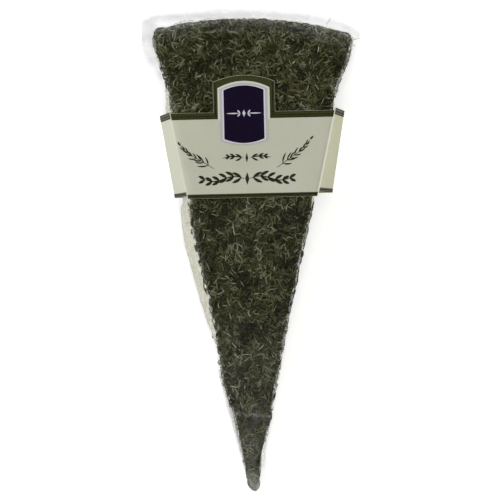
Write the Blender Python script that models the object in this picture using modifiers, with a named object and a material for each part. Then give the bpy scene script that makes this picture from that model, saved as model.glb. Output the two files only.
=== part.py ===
"""A wedge of goat gouda in a coat of chopped rosemary, sealed in clear film, with a card sleeve round it.

The pack lies on its back with the sleeve's front up. s runs along the wedge from its point to its rind
(+Y), x runs across it from its middle line (+X) and z runs up. The origin is at the middle of the pack's
box, on the table.
"""

import math
import random

import bmesh
import bpy
from mathutils import Matrix, Vector, noise
from mathutils.bvhtree import BVHTree

# The wedge's top face, in metres.
WEDGE_LENGTH = 0.1257
WEDGE_HEIGHT = 0.0420
RIND_HALF_CHORD = 0.0264
RIND_CORNER_S = 0.1211
RIND_SAGITTA = 0.0036
RIND_TILT = 0.0008
RIND_DOME = 0.0013
POINT_HALVES = (0.0016, 0.0012)
POINT_BLEND = 3
POINT_ROUND = 0.0016
POINT_SLUMP = 0.0012
EDGE_RADIUS = 0.0016
LEFT_BELLY = 0.0010
RIGHT_HOLLOW = 0.0014

# Bulges and dents of the top face's cut edges: where along s, how wide and how far out.
LEFT_DENTS = (
    (0.029, 0.0045, 0.0009),
    (0.053, 0.0070, -0.0004),
    (0.106, 0.0060, -0.0011),
    (0.118, 0.0030, 0.0005),
)
RIGHT_DENTS = ((0.0095, 0.0040, -0.0004), (0.106, 0.0050, -0.0005))

# How far the cut sides lean out below the top face, and where the sleeve pulls them in again.
LEFT_LEAN = 0.0037
LEFT_LEAN_IN_SLEEVE = 0.0024
LEFT_LEAN_AT_RIND = 0.0004
RIGHT_LEAN = 0.0008
LEAN_POWER = 1.6

# The herb coat's relief.
LUMP = 0.00045
LUMP_SIZE = 0.0052
SIDE_LUMP = 0.00018
TOP_NEEDLES = 92
RIND_NEEDLES = 32
NEEDLE_LENGTHS = (0.0030, 0.0055)
NEEDLE_WIDTH = 0.0011
NEEDLE_HEIGHT = 0.0009
NEEDLE_SINK = 0.00012
NEEDLE_BEND = 0.10
NEEDLE_SEED = 7

# The film's sealed flange stands out round the wedge, a little above its foot.
FLANGE_Z = 0.0012
FLANGE_THICKNESS = 0.0005
FLANGE_RIND = 0.0042
FLANGE_LEFT_CORNER = 0.0042
FLANGE_RIGHT_CORNER = 0.0024
FLANGE_POINT = 0.0038
FLANGE_LEFT = 0.0042
FLANGE_LEFT_AT_POINT = 0.0024
FLANGE_LEFT_IN_SLEEVE = 0.0030
FLANGE_LEFT_AT_RIND = 0.0044
FLANGE_RIGHT = 0.0027
FLANGE_RIGHT_AT_POINT = 0.0015
FLANGE_RIPPLE = 0.00025
FLANGE_RIPPLE_TURNS = 420
FLANGE_STEPS = 26

# The card sleeve: x of its creases and of its foot, left and right, at its low and its top end.
CARD = 0.00035
GAP = 0.0003
SLEEVE_LOW_S = 0.0776
SLEEVE_TOP_S = 0.10025
SLEEVE_CREASES_LOW = (-0.01781, 0.01668)
SLEEVE_CREASES_TOP = (-0.02203, 0.02178)
SLEEVE_FEET_LOW = (-0.02157, 0.02082)
SLEEVE_FEET_TOP = (-0.02523, 0.02472)
SLEEVE_TILT = math.radians(1.1)
SLEEVE_RISES_LOW = (0.0007, 0.0012)
SLEEVE_RISES_TOP = (0.0004, 0.0007)
SLEEVE_NOTCH = 0.0004
SLEEVE_TURNOVER = 0.015
RECESS_SPARE = 0.0001
SLEEVE_LEFT_RADIUS = 0.0026
SLEEVE_RIGHT_RADIUS = 0.0012
SLEEVE_FOOT_RADIUS = 0.0010
PRESS_NEAR, PRESS_FAR = 0.001, 0.004
SLEEVE_ROWS = 6
SLEEVE_SIDE_STEPS = 6
SLEEVE_CORNER_STEPS = 4
SLEEVE_PANEL_Z = WEDGE_HEIGHT + 1.6 * GAP
TAB_X = -0.0023
TAB_HALF = 0.00817
TAB_CORNER_S = 0.1083
TAB_ARCH = 0.0017
TAB_ROWS = 3
TAB_STEPS = 8

# The cage of the wedge: cuts across, along and up, and how sharply the last ones crowd to the edges.
CUTS_ACROSS, CUTS_ALONG, CUTS_UP = 14, 38, 9
EDGE_CROWDING = 8
SMOOTH_BELOW = math.radians(35)


def ease(low, high, value):
    """0 below low, 1 above high, and a smooth step between them."""
    t = min(max((value - low) / (high - low), 0.0), 1.0)
    return t * t * (3 - 2 * t)


def mix(a, b, share):
    return a + (b - a) * share


def half_width(s, side):
    """Half the top face's width at s, on the left (side -1) or the right (side 1)."""
    wide = RIND_HALF_CHORD * s / RIND_CORNER_S
    if side < 0:
        wide += LEFT_BELLY * (1 - ease(0.066, 0.078, s))
    else:
        wide -= RIGHT_HOLLOW * ease(0.004, 0.050, s) * (1 - ease(0.104, 0.119, s))
    for place, spread, height in LEFT_DENTS if side < 0 else RIGHT_DENTS:
        wide += height * math.exp(-(((s - place) / spread) ** 2))
    least = POINT_HALVES[0 if side < 0 else 1]
    return (max(wide, 0.0) ** POINT_BLEND + least**POINT_BLEND) ** (1 / POINT_BLEND)


def lean(s, side):
    """How far the cut side stands out at its foot, beyond the top face's edge."""
    if side < 0:
        free = LEFT_LEAN * ease(0.026, 0.057, s)
        held = mix(free, LEFT_LEAN_IN_SLEEVE, ease(0.0745, 0.0775, s))
        return mix(held, LEFT_LEAN_AT_RIND, ease(0.100, 0.120, s))
    return RIGHT_LEAN * ease(0.010, 0.050, s)


def flange_width(s, side):
    """How far the flange stands out beyond the top face's edge."""
    if side < 0:
        free = mix(FLANGE_LEFT_AT_POINT, FLANGE_LEFT, ease(0.014, 0.060, s))
        held = mix(free, FLANGE_LEFT_IN_SLEEVE, ease(0.0750, 0.0775, s))
        return mix(held, FLANGE_LEFT_AT_RIND, ease(0.102, 0.116, s))
    return mix(FLANGE_RIGHT_AT_POINT, FLANGE_RIGHT, ease(0.025, 0.060, s))


def down_the_side(z):
    """The share of the lean that a point at height z has: none at the top, all at the foot."""
    return 1 - min(max(z / WEDGE_HEIGHT, 0.0), 1.0) ** LEAN_POWER


def rind_s(across):
    """s of the rind, at across from -1 on the left to 1 on the right."""
    return WEDGE_LENGTH - RIND_SAGITTA * across**2 - RIND_TILT * across


def flange_outline():
    """Points (x, s) round the flange's edge, anticlockwise from the point of the wedge."""
    right, left = [], []
    for step in range(FLANGE_STEPS + 1):
        s = RIND_CORNER_S * step / FLANGE_STEPS
        ripple = FLANGE_RIPPLE * math.sin(s * FLANGE_RIPPLE_TURNS)
        right.append((half_width(s, 1) + flange_width(s, 1) + ripple, s))
        left.append((-half_width(s, -1) - flange_width(s, -1) + ripple, s))
    top = []
    for step in range(FLANGE_STEPS + 1):
        across = 1 - 2 * step / FLANGE_STEPS
        corner = FLANGE_LEFT_CORNER if across < 0 else FLANGE_RIGHT_CORNER
        edge = mix(FLANGE_RIND, corner, abs(across) ** 6)
        x = mix(left[-1][0], right[-1][0], (across + 1) / 2)
        top.append((x, rind_s(across) + edge + FLANGE_RIPPLE * math.sin(x * FLANGE_RIPPLE_TURNS)))
    point = []
    for step in range(1, 6):
        angle = math.pi * (1 + step / 6)
        middle = (right[0][0] + left[0][0]) / 2
        reach = (right[0][0] - left[0][0]) / 2
        point.append((middle + reach * math.cos(angle), FLANGE_POINT * math.sin(angle)))
    return right + top + left[::-1] + point


def plan_centre():
    """The middle of the whole pack's box in plan, which the flange's edge sets."""
    xs, ys = zip(*flange_outline())
    return (min(xs) + max(xs)) / 2, (min(ys) + max(ys)) / 2


CENTRE_X, CENTRE_S = plan_centre()


def put(x, s, z):
    """A point of the pack in the object's own frame."""
    return Vector((x - CENTRE_X, s - CENTRE_S, z))


def material(name, colour, roughness):
    made = bpy.data.materials.new(name)
    made.use_nodes = True
    shader = made.node_tree.nodes["Principled BSDF"]
    shader.inputs["Base Color"].default_value = (*colour, 1)
    shader.inputs["Roughness"].default_value = roughness
    return made


def new_object(name, mesh, collection, finish=None):
    made = bpy.data.objects.new(name, mesh)
    collection.objects.link(made)
    if finish:
        mesh.materials.append(finish)
    return made


def rounded(point, half, radius):
    """A point of a box's surface, moved in so that the box has round edges and corners."""
    core = Vector(max(-h + radius, min(h - radius, p)) for p, h in zip(point, half))
    out = point - core
    reach = max(abs(out.x), abs(out.y), abs(out.z))
    return core if reach < 1e-9 else core + out * (reach / out.length)


def closer_to_edges(t, half):
    """Moves evenly spaced cuts, -1 to 1, so that the outer ones shape the round edge."""
    margin = EDGE_RADIUS / half
    inner = abs(t) * (1 - margin)
    return math.copysign(inner + margin * abs(t) ** EDGE_CROWDING, t)


def lump(point):
    """Uneven relief from -1 to 1, in lumps of LUMP_SIZE."""
    coarse = noise.noise(point / LUMP_SIZE)
    fine = noise.noise(point / (LUMP_SIZE * 0.45) + Vector((9, 4, 2)))
    return coarse + 0.5 * fine


def under_sleeve(x, s):
    """1 where the sleeve presses the top face flat, 0 well away from it."""
    def below(edge, value):
        return 1 - ease(edge + PRESS_NEAR, edge + PRESS_FAR, value)

    above_foot = below(-SLEEVE_LOW_S, -s)
    band = below(SLEEVE_TOP_S, s)
    tab = below(TAB_HALF, abs(x - TAB_X)) * below(TAB_CORNER_S + TAB_ARCH, s)
    return above_foot * max(band, tab)


def wedge_point(across, along, up):
    """A point of the wedge's surface. across and along run from -1 to 1, up from 0 to 1."""
    side = -1 if across < 0 else 1
    b = (along + 1) / 2
    dome = RIND_DOME * abs(2 * up - 1) ** 4 * ease(0.90, 1.0, b)
    s = POINT_ROUND * across**2 * (1 - b) + (rind_s(across) - dome) * b
    z = up * WEDGE_HEIGHT
    z -= POINT_SLUMP * up * (1 - ease(0.0, 0.35, b))
    x = across * (half_width(s, side) + lean(s, side) * down_the_side(z))
    return x, s, z


def wedge_mesh():
    """The uneven wedge: a cube cut into a cage, rounded, tapered to its point and made lumpy."""
    bm = bmesh.new()
    bmesh.ops.create_cube(bm, size=2)
    for axis, cuts in enumerate((CUTS_ACROSS, CUTS_ALONG, CUTS_UP)):
        edges = [e for e in bm.edges if abs((e.verts[0].co - e.verts[1].co)[axis]) > 1e-6]
        bmesh.ops.subdivide_edges(bm, edges=edges, cuts=cuts, use_grid_fill=True)
    half = Vector((RIND_HALF_CHORD, WEDGE_LENGTH / 2, WEDGE_HEIGHT / 2))
    cage = {}
    for v in bm.verts:
        even = Vector(closer_to_edges(t, h) * h for t, h in zip(v.co, half))
        soft = rounded(even, half, EDGE_RADIUS)
        across, along, up = (p / h for p, h in zip(soft, half))
        cage[v] = Vector((across, along, (up + 1) / 2))
        v.co = wedge_point(across, along, (up + 1) / 2)
    bm.normal_update()
    moved = []
    for v in bm.verts:
        across, along, up = cage[v]
        herbs = max(ease(0.93, 1.0, up), ease(0.94, 1.0, along) * ease(0.0, 0.1, up))
        size = SIDE_LUMP + (LUMP - SIDE_LUMP) * herbs
        size *= ease(0.02, 0.12, up) * (1 - 0.9 * under_sleeve(v.co.x, v.co.y) * ease(0.9, 1.0, up))
        moved.append(v.co + v.normal * size * lump(v.co))
    for v, co in zip(bm.verts, moved):
        v.co = put(*co)
    mesh = bpy.data.meshes.new("wedge")
    bm.to_mesh(mesh)
    bm.free()
    return mesh


def needle_mesh(length, bend):
    """One chopped rosemary needle along X: a thin flattened spindle, a little bent."""
    bm = bmesh.new()
    turn = Matrix.Rotation(math.pi / 2, 4, "Y")
    bmesh.ops.create_uvsphere(bm, u_segments=5, v_segments=4, radius=1, matrix=turn)
    for v in bm.verts:
        x = v.co.x
        blunt = 1 + 0.5 * x * x
        y = v.co.y * blunt * NEEDLE_WIDTH / 2 + bend * length * x * x
        v.co = Vector((x * length / 2, y, v.co.z * blunt * NEEDLE_HEIGHT / 2))
    mesh = bpy.data.meshes.new("needle")
    bm.to_mesh(mesh)
    bm.free()
    return mesh


def evenly(index, seed):
    """The index-th of points spread evenly over the unit square, by the R2 sequence."""
    return (0.5 + seed + 0.7548776662 * index) % 1, (0.5 + seed + 0.5698402910 * index) % 1


def add_needles(body, collection):
    """Lays needles on the top face and the rind, sunk in so that the union joins them."""
    draw = random.Random(NEEDLE_SEED)
    tree = BVHTree.FromObject(body, bpy.context.evaluated_depsgraph_get())

    def lay(start, direction):
        hit, normal, _, _ = tree.ray_cast(start, direction)
        mesh = needle_mesh(draw.uniform(*NEEDLE_LENGTHS), draw.uniform(-NEEDLE_BEND, NEEDLE_BEND))
        needle = new_object("needle", mesh, collection)
        turn = normal.to_track_quat("Z", "Y").to_matrix().to_4x4()
        spin = Matrix.Rotation(draw.uniform(0, math.pi), 4, "Z")
        needle.matrix_world = Matrix.Translation(hit - normal * NEEDLE_SINK) @ turn @ spin

    laid = index = 0
    while laid < TOP_NEEDLES:
        u, v = evenly(index, 0.0)
        index += 1
        x, s = (2 * u - 1) * RIND_HALF_CHORD, v * WEDGE_LENGTH
        side = -1 if x < 0 else 1
        inside = abs(x) < half_width(s, side) - 0.0015 and 0.006 < s < rind_s(x / RIND_HALF_CHORD) - 0.003
        if inside and under_sleeve(x, s) == 0:
            lay(put(x, s, WEDGE_HEIGHT + 0.01), Vector((0, 0, -1)))
            laid += 1
    for index in range(RIND_NEEDLES):
        u, v = evenly(index, 0.3)
        x = (2 * u - 1) * (RIND_HALF_CHORD - 0.003)
        lay(put(x, WEDGE_LENGTH + 0.01, 0.005 + v * (WEDGE_HEIGHT - 0.009)), Vector((0, -1, 0)))


def curve_to_mesh(curve_object):
    """A mesh of an evaluated curve, with its caps welded."""
    graph = bpy.context.evaluated_depsgraph_get()
    mesh = bpy.data.meshes.new_from_object(curve_object.evaluated_get(graph))
    bm = bmesh.new()
    bm.from_mesh(mesh)
    bmesh.ops.remove_doubles(bm, verts=bm.verts, dist=1e-6)
    bm.to_mesh(mesh)
    bm.free()
    return mesh


def add_flange(collection):
    """The flat sealed flange: a filled 2D outline, extruded."""
    outline = bpy.data.curves.new("flange outline", "CURVE")
    outline.dimensions = "2D"
    outline.fill_mode = "BOTH"
    outline.extrude = FLANGE_THICKNESS / 2
    points = flange_outline()
    spline = outline.splines.new("POLY")
    spline.points.add(len(points) - 1)
    for knot, (x, s) in zip(spline.points, points):
        knot.co = (x - CENTRE_X, s - CENTRE_S, 0, 1)
    spline.use_cyclic_u = True
    guide = new_object("flange outline", outline, collection)
    guide.location.z = FLANGE_Z + FLANGE_THICKNESS / 2
    bpy.context.view_layer.update()
    flange = new_object("flange", curve_to_mesh(guide), collection)
    flange.matrix_world = guide.matrix_world
    bpy.data.objects.remove(guide)


def apply_modifiers(obj):
    """Replaces an object's mesh by its evaluated one and clears its modifiers."""
    graph = bpy.context.evaluated_depsgraph_get()
    mesh = bpy.data.meshes.new_from_object(obj.evaluated_get(graph))
    obj.modifiers.clear()
    obj.data = mesh


def sleeve_recess(collection):
    """The shallow place under the pack that the sleeve's back panel lies in."""
    bm = bmesh.new()
    bmesh.ops.create_cube(bm, size=1)
    depth = CARD + GAP
    length = SLEEVE_TOP_S - SLEEVE_LOW_S + 2 * (GAP + RECESS_SPARE)
    bmesh.ops.scale(bm, vec=(3 * RIND_HALF_CHORD, length, 2 * depth), verts=bm.verts)
    mesh = bpy.data.meshes.new("sleeve recess")
    bm.to_mesh(mesh)
    bm.free()
    cutter = new_object("sleeve recess", mesh, collection)
    rise = sum(SLEEVE_RISES_LOW + SLEEVE_RISES_TOP) / 4
    cutter.location = put(0, (SLEEVE_TOP_S + SLEEVE_LOW_S) / 2 + rise, 0)
    cutter.rotation_euler.z = SLEEVE_TILT
    cutter.hide_render = True
    cutter.display_type = "WIRE"
    return cutter


def sealed_pack(model, cutters, finish):
    """The cheese in its clinging film with the flange round it, as one solid."""
    toppings = bpy.data.collections.new("toppings")
    bpy.context.scene.collection.children.link(toppings)
    pack = new_object("sealed_pack", wedge_mesh(), model)
    bpy.context.view_layer.update()
    add_needles(pack, toppings)
    add_flange(toppings)
    join = pack.modifiers.new("join toppings", "BOOLEAN")
    join.operation = "UNION"
    join.operand_type = "COLLECTION"
    join.collection = toppings
    cut = pack.modifiers.new("sleeve recess", "BOOLEAN")
    cut.operation = "DIFFERENCE"
    cut.object = sleeve_recess(cutters)
    bpy.context.view_layer.update()
    apply_modifiers(pack)
    for topping in list(toppings.objects):
        bpy.data.objects.remove(topping)
    bpy.data.collections.remove(toppings)
    pack.data.materials.clear()
    pack.data.materials.append(finish)
    pack.data.shade_smooth()
    pack.data.set_sharp_from_angle(angle=SMOOTH_BELOW)


def sleeve_section(along):
    """Points (x, z) round the sleeve's outer face, along from 0 at its low end to 1 at its top end.

    They run clockwise from the left edge of the tab.
    """
    creases = [mix(low, top, along) for low, top in zip(SLEEVE_CREASES_LOW, SLEEVE_CREASES_TOP)]
    feet = [mix(low, top, along) for low, top in zip(SLEEVE_FEET_LOW, SLEEVE_FEET_TOP)]
    top = SLEEVE_PANEL_Z + CARD
    loop = []

    def corner(x, z, radius, start):
        for step in range(SLEEVE_CORNER_STEPS + 1):
            angle = math.radians(start - 90 * step / SLEEVE_CORNER_STEPS)
            loop.append((x + radius * math.cos(angle), z + radius * math.sin(angle)))

    def side(start, end):
        for step in range(1, SLEEVE_SIDE_STEPS):
            share = step / SLEEVE_SIDE_STEPS
            loop.append(tuple(mix(a, b, share) for a, b in zip(start, end)))

    right_turn = creases[1] - SLEEVE_RIGHT_RADIUS
    left_turn = creases[0] + SLEEVE_LEFT_RADIUS
    for step in range(TAB_STEPS + 1):
        loop.append((TAB_X - TAB_HALF + 2 * TAB_HALF * step / TAB_STEPS, top))
    loop.append(((TAB_X + TAB_HALF + right_turn) / 2, top))
    corner(right_turn, top - SLEEVE_RIGHT_RADIUS, SLEEVE_RIGHT_RADIUS, 90)
    notch = (creases[1], top - SLEEVE_RIGHT_RADIUS - SLEEVE_NOTCH)
    loop.append(notch)
    side(notch, (feet[1], SLEEVE_FOOT_RADIUS))
    corner(feet[1] - SLEEVE_FOOT_RADIUS, SLEEVE_FOOT_RADIUS, SLEEVE_FOOT_RADIUS, 0)
    corner(feet[0] + SLEEVE_FOOT_RADIUS, SLEEVE_FOOT_RADIUS, SLEEVE_FOOT_RADIUS, 270)
    notch = (creases[0], top - SLEEVE_LEFT_RADIUS - SLEEVE_NOTCH)
    side((feet[0], SLEEVE_FOOT_RADIUS), notch)
    loop.append(notch)
    corner(left_turn, top - SLEEVE_LEFT_RADIUS, SLEEVE_LEFT_RADIUS, 180)
    loop.append(((TAB_X - TAB_HALF + left_turn) / 2, top))
    return loop


def side_shift(x, s, z):
    """How far the sleeve's sides and back, from the creases down, lie out and nearer the rind than its front.

    They move in their own plane, which splays as the wedge does.
    """
    length = SLEEVE_TOP_S - SLEEVE_LOW_S
    along = (s - SLEEVE_LOW_S) / length
    share = ease(-SLEEVE_TURNOVER, SLEEVE_TURNOVER, x)
    turn = SLEEVE_PANEL_Z + CARD - mix(SLEEVE_LEFT_RADIUS, SLEEVE_RIGHT_RADIUS, share)
    rise = mix(mix(*SLEEVE_RISES_LOW, share), mix(*SLEEVE_RISES_TOP, share), along)
    rise *= 1 - ease(turn - SLEEVE_NOTCH, turn, z)
    splays = [(top - low) / length for low, top in zip(SLEEVE_CREASES_LOW, SLEEVE_CREASES_TOP)]
    return rise * mix(*splays, share), rise


def sleeve_point(x, s, z):
    """A point of the sleeve, which is turned a little in plan."""
    middle = (SLEEVE_LOW_S + SLEEVE_TOP_S) / 2
    out, rise = side_shift(x, s, z)
    return put(x + out - SLEEVE_TILT * (s - middle), s + rise + SLEEVE_TILT * x, z)


def card_sleeve(model, finish):
    """The band of card round the pack, with the tab that stands up from its front panel."""
    bm = bmesh.new()
    rows = []
    for row in range(SLEEVE_ROWS + 1):
        along = row / SLEEVE_ROWS
        s = mix(SLEEVE_LOW_S, SLEEVE_TOP_S, along)
        rows.append([bm.verts.new(sleeve_point(x, s, z)) for x, z in sleeve_section(along)])
    around = len(rows[0])
    for low, high in zip(rows, rows[1:]):
        for i in range(around):
            j = (i + 1) % around
            bm.faces.new((low[i], low[j], high[j], high[i]))
    tab = [rows[-1][: TAB_STEPS + 1]]
    top = SLEEVE_PANEL_Z + CARD
    for row in range(1, TAB_ROWS + 1):
        line = []
        for step in range(TAB_STEPS + 1):
            u = 2 * step / TAB_STEPS - 1
            end = TAB_CORNER_S + TAB_ARCH * (1 - u * u)
            s = mix(SLEEVE_TOP_S, end, row / TAB_ROWS)
            line.append(bm.verts.new(sleeve_point(TAB_X + u * TAB_HALF, s, top)))
        tab.append(line)
    for low, high in zip(tab, tab[1:]):
        for i in range(TAB_STEPS):
            bm.faces.new((low[i], low[i + 1], high[i + 1], high[i]))
    mesh = bpy.data.meshes.new("card_sleeve")
    bm.to_mesh(mesh)
    bm.free()
    mesh.shade_smooth()
    mesh.set_sharp_from_angle(angle=SMOOTH_BELOW)
    sleeve = new_object("card_sleeve", mesh, model, finish)
    thick = sleeve.modifiers.new("card", "SOLIDIFY")
    thick.thickness = CARD
    thick.offset = -1
    thick.use_even_offset = True


def main():
    for obj in list(bpy.data.objects):
        bpy.data.objects.remove(obj)
    model = bpy.data.collections.new("goat gouda wedge")
    cutters = bpy.data.collections.new("cutters")
    for collection in (model, cutters):
        bpy.context.scene.collection.children.link(collection)
    herbs = material("rosemary coat", (0.045, 0.045, 0.026), 0.55)
    card = material("printed card", (0.47, 0.47, 0.38), 0.6)
    sealed_pack(model, cutters, herbs)
    card_sleeve(model, card)


main()
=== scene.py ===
"""Looks of a wedge of goat gouda in a coat of chopped rosemary, sealed in clear film, with a card sleeve.

s runs along the wedge from its point to its rind, x across it from its middle line and z up, in metres. The
outlines are the part's own, made finer: the cheese, its herbs, the film over them, and the printed card.
"""

import math
import random

import bpy
import numpy as np
from mathutils import Matrix, Vector, noise
from mathutils.bvhtree import BVHTree


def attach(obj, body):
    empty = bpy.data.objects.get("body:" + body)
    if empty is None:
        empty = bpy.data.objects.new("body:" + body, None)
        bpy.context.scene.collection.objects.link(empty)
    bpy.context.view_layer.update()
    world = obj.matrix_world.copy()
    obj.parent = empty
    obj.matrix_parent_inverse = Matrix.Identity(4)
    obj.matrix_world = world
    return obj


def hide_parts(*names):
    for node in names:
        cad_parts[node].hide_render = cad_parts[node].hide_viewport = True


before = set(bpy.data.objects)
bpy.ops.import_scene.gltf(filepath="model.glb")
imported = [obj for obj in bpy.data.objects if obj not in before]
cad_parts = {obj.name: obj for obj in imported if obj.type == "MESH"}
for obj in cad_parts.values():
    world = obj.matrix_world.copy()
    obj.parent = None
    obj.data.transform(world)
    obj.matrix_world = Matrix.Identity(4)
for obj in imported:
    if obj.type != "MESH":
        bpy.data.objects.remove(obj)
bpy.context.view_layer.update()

# The wedge's top face. A pair whose name ends in _START, _END, _HELD, _FADE or _WIDENS is the stretch of s
# over which a value changes.
WEDGE_LENGTH = 0.1257
WEDGE_HEIGHT = 0.0420
RIND_HALF_CHORD = 0.0264
RIND_CORNER_S = 0.1211
RIND_SAGITTA = 0.0036
RIND_TILT = 0.0008
RIND_DOME = 0.0013
POINT_HALVES = (0.0016, 0.0012)
POINT_BLEND = 3
POINT_ROUND = 0.0016
POINT_SLUMP = 0.0012
EDGE_RADIUS = 0.0016
LEFT_BELLY = 0.0010
LEFT_BELLY_END = (0.066, 0.078)
RIGHT_HOLLOW = 0.0014
RIGHT_HOLLOW_START = (0.004, 0.050)
RIGHT_HOLLOW_END = (0.104, 0.119)

# Swells and dents in the cut sides' top edges: the place along s, the spread and the height.
LEFT_DENTS = (
    (0.029, 0.0045, 0.0009),
    (0.053, 0.0070, -0.0004),
    (0.106, 0.0060, -0.0011),
    (0.118, 0.0030, 0.0005),
)
RIGHT_DENTS = ((0.0095, 0.0040, -0.0004), (0.106, 0.0050, -0.0005))

# How far the cut sides lean out at their foot.
LEFT_LEAN = 0.0037
LEFT_LEAN_START = (0.026, 0.057)
LEFT_LEAN_IN_SLEEVE = 0.0024
LEFT_LEAN_HELD = (0.0745, 0.0775)
LEFT_LEAN_AT_RIND = 0.0004
LEFT_LEAN_FADE = (0.100, 0.120)
RIGHT_LEAN = 0.0008
RIGHT_LEAN_START = (0.010, 0.050)
LEAN_POWER = 1.6

# The coat's lumps and the ragged notches in its edge.
LUMP = 0.00045
LUMP_SIZE = 0.0052
SIDE_LUMP = 0.00018
NOTCH = 0.0007
NOTCH_SIZE = 0.0015

# The cheese is set in from the film by CHEESE_INSET, and by RIND_INSET more at the rind, where the film is
# loose. CHEESE_CUTS are the cells that its mesh is cut into.
CHEESE_INSET = 0.00018
RIND_INSET = 0.00078
CHEESE_CUTS = (56, 150, 34)

# The film's flange.
FLANGE_Z = 0.0012
FLANGE_THICKNESS = 0.0005
FLANGE_RIND = 0.0042
FLANGE_LEFT_CORNER = 0.0042
FLANGE_RIGHT_CORNER = 0.0024
FLANGE_POINT = 0.0038
FLANGE_LEFT_AT_POINT = 0.0024
FLANGE_LEFT_START = (0.014, 0.060)
FLANGE_LEFT = 0.0042
FLANGE_LEFT_HELD = (0.0750, 0.0775)
FLANGE_LEFT_IN_SLEEVE = 0.0030
FLANGE_LEFT_WIDENS = (0.102, 0.116)
FLANGE_LEFT_AT_RIND = 0.0044
FLANGE_RIGHT_AT_POINT = 0.0015
FLANGE_RIGHT_START = (0.025, 0.060)
FLANGE_RIGHT = 0.0027
FLANGE_RIPPLE = 0.00025
FLANGE_RIPPLE_TURNS = 420
FLANGE_STEPS = 26

# The sleeve.
CARD = 0.00035
GAP = 0.0003
SLEEVE_LOW_S = 0.0776
SLEEVE_TOP_S = 0.10025
SLEEVE_CREASES_LOW = (-0.01781, 0.01668)
SLEEVE_CREASES_TOP = (-0.02203, 0.02178)
SLEEVE_FEET_LOW = (-0.02157, 0.02082)
SLEEVE_FEET_TOP = (-0.02523, 0.02472)
SLEEVE_TILT = math.radians(1.1)
SLEEVE_RISES_LOW = (0.0007, 0.0012)
SLEEVE_RISES_TOP = (0.0004, 0.0007)
SLEEVE_NOTCH = 0.0004
SLEEVE_TURNOVER = 0.015
SLEEVE_RADII = (0.0026, 0.0012)
SLEEVE_FOOT_RADIUS = 0.0010
SLEEVE_PANEL_Z = WEDGE_HEIGHT + 1.6 * GAP
SLEEVE_TOP_Z = SLEEVE_PANEL_Z + CARD
SLEEVE_MIDDLE_S = (SLEEVE_LOW_S + SLEEVE_TOP_S) / 2
SLEEVE_GRIP = 0.0006
TAB_X = -0.0023
TAB_HALF = 0.00817
TAB_CORNER_S = 0.1083
TAB_ARCH = 0.0017
CORNER_STEPS = 12
CREASE_ANGLES = (math.radians(67.5), math.radians(52.5))

# Herbs: how many needles of each kind, their lengths and widths, and the rings in each.
SEED = 11
HERB_KINDS = {
    "herbs_dark": (8200, (0.0016, 0.0036), (0.00042, 0.00076), 3),
    "herbs_grey": (4900, (0.0013, 0.0032), (0.00028, 0.00046), 5),
    "herbs_brown": (1000, (0.0012, 0.0030), (0.00034, 0.00060), 3),
}
NEEDLE_SIDES = 4
CRUMBS = 12000
CRUMB_SIZES = (0.00016, 0.00040)

# Running totals of the shares of the herbs that lie on the top, on the cut sides' upper edge, beside the
# rind's upright edges, at the cut sides' foot and on the rind. The rest lie on the back.
ON_TOP, ON_UPPER_EDGE, BESIDE_RIND, AT_FOOT, ON_RIND = 0.63, 0.66, 0.675, 0.705, 0.84

# On the left and the right cut side: how deep below the top and how high above the foot the herbs stray. From
# BARE_S to the sleeve, the left one has them only in its first LEFT_FRINGE.
STRAY_DEPTHS = (0.0010, 0.0020)
FOOT_HEIGHTS = (0.0004, 0.0018)
BARE_S = 0.040
LEFT_FRINGE = 0.0012

# How far the pieces stay inside the sleeve, how far the herbs reach in under its front, and the stretch of
# the cut sides that it keeps clear of them.
CHEESE_SPARE, HERB_SPARE, FILM_SPARE = 0.00030, 0.00014, 0.00006
HERB_TUCK = 0.0012
CLEAR_SIDES = (SLEEVE_LOW_S - HERB_TUCK, SLEEVE_TOP_S + 0.0016)

# Tones of the herbs, from dark to light, in 8-bit sRGB, and the look of each kind of needle.
DARK_HERB = ((24, 24, 5), (46, 47, 21), (71, 72, 42), (102, 104, 72), (126, 127, 101))
GREY_HERB = ((37, 37, 17), (73, 73, 44), (109, 110, 81), (148, 150, 125), (172, 171, 152))
BROWN_HERB = ((30, 27, 11), (56, 50, 27), (80, 71, 47), (103, 94, 69), (122, 111, 88))
HERB_LOOKS = {
    "herbs_dark": ("herb_dark", DARK_HERB),
    "herbs_grey": ("herb_grey", GREY_HERB),
    "herbs_brown": ("herb_brown", BROWN_HERB),
}

# The cells that the sleeve's mesh is cut into: along the tab, the gap beside it, the walls, the heels, the
# back, the band and up the tab. Then those of a printed band, along the front and the sides.
TAB_STEPS, GAP_STEPS, WALL_STEPS, HEEL_STEPS, BACK_STEPS, BAND_ROWS, TAB_ROWS = 24, 14, 26, 5, 30, 20, 8
FRONT_STEPS, SIDE_STEPS = 13, 30

# The print: its borders and the dark lines on them, each measured in from the printed edge.
PRINT_EDGE = 0.00006
TOP_BORDER = 0.00170
TOP_LINES = ((0.0, 0.00014), (0.00082, 0.00100), (0.00146, 0.00168))
LOW_BORDER = 0.00105
LOW_LINES = ((0.0, 0.00016), (0.00052, 0.00070))
TAB_LINE = (0.00050, 0.00068)

# The pale frame, and the dark badge with its rims. A rim has how far it goes past the badge beside it, below
# and above it, with how much more its two edges arch.
FRAME_X = TAB_X - 0.0001
FRAME_HALF = 0.00688
FRAME_LOW = SLEEVE_TOP_S - 0.0022
FRAME_TOP, FRAME_TOP_ARCH = 0.10665, 0.00180
BADGE_HALF = 0.00530
BADGE_TOP, BADGE_TOP_ARCH = 0.10606, 0.00120
BADGE_LOW, BADGE_LOW_ARCH = 0.09317, 0.00114
BADGE_RULE_S = 0.0999
BADGE_PANELS = (
    ("print_frame_grey", 0.00105, 0.0004, 0.0001, 0.0003, 0.0004),
    ("print_frame_lilac", 0.00034, 0.00022, 0.0, 0.00016, 0.0),
    ("print_badge", 0.0, 0.0, 0.0, 0.0, 0.0),
)

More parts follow.
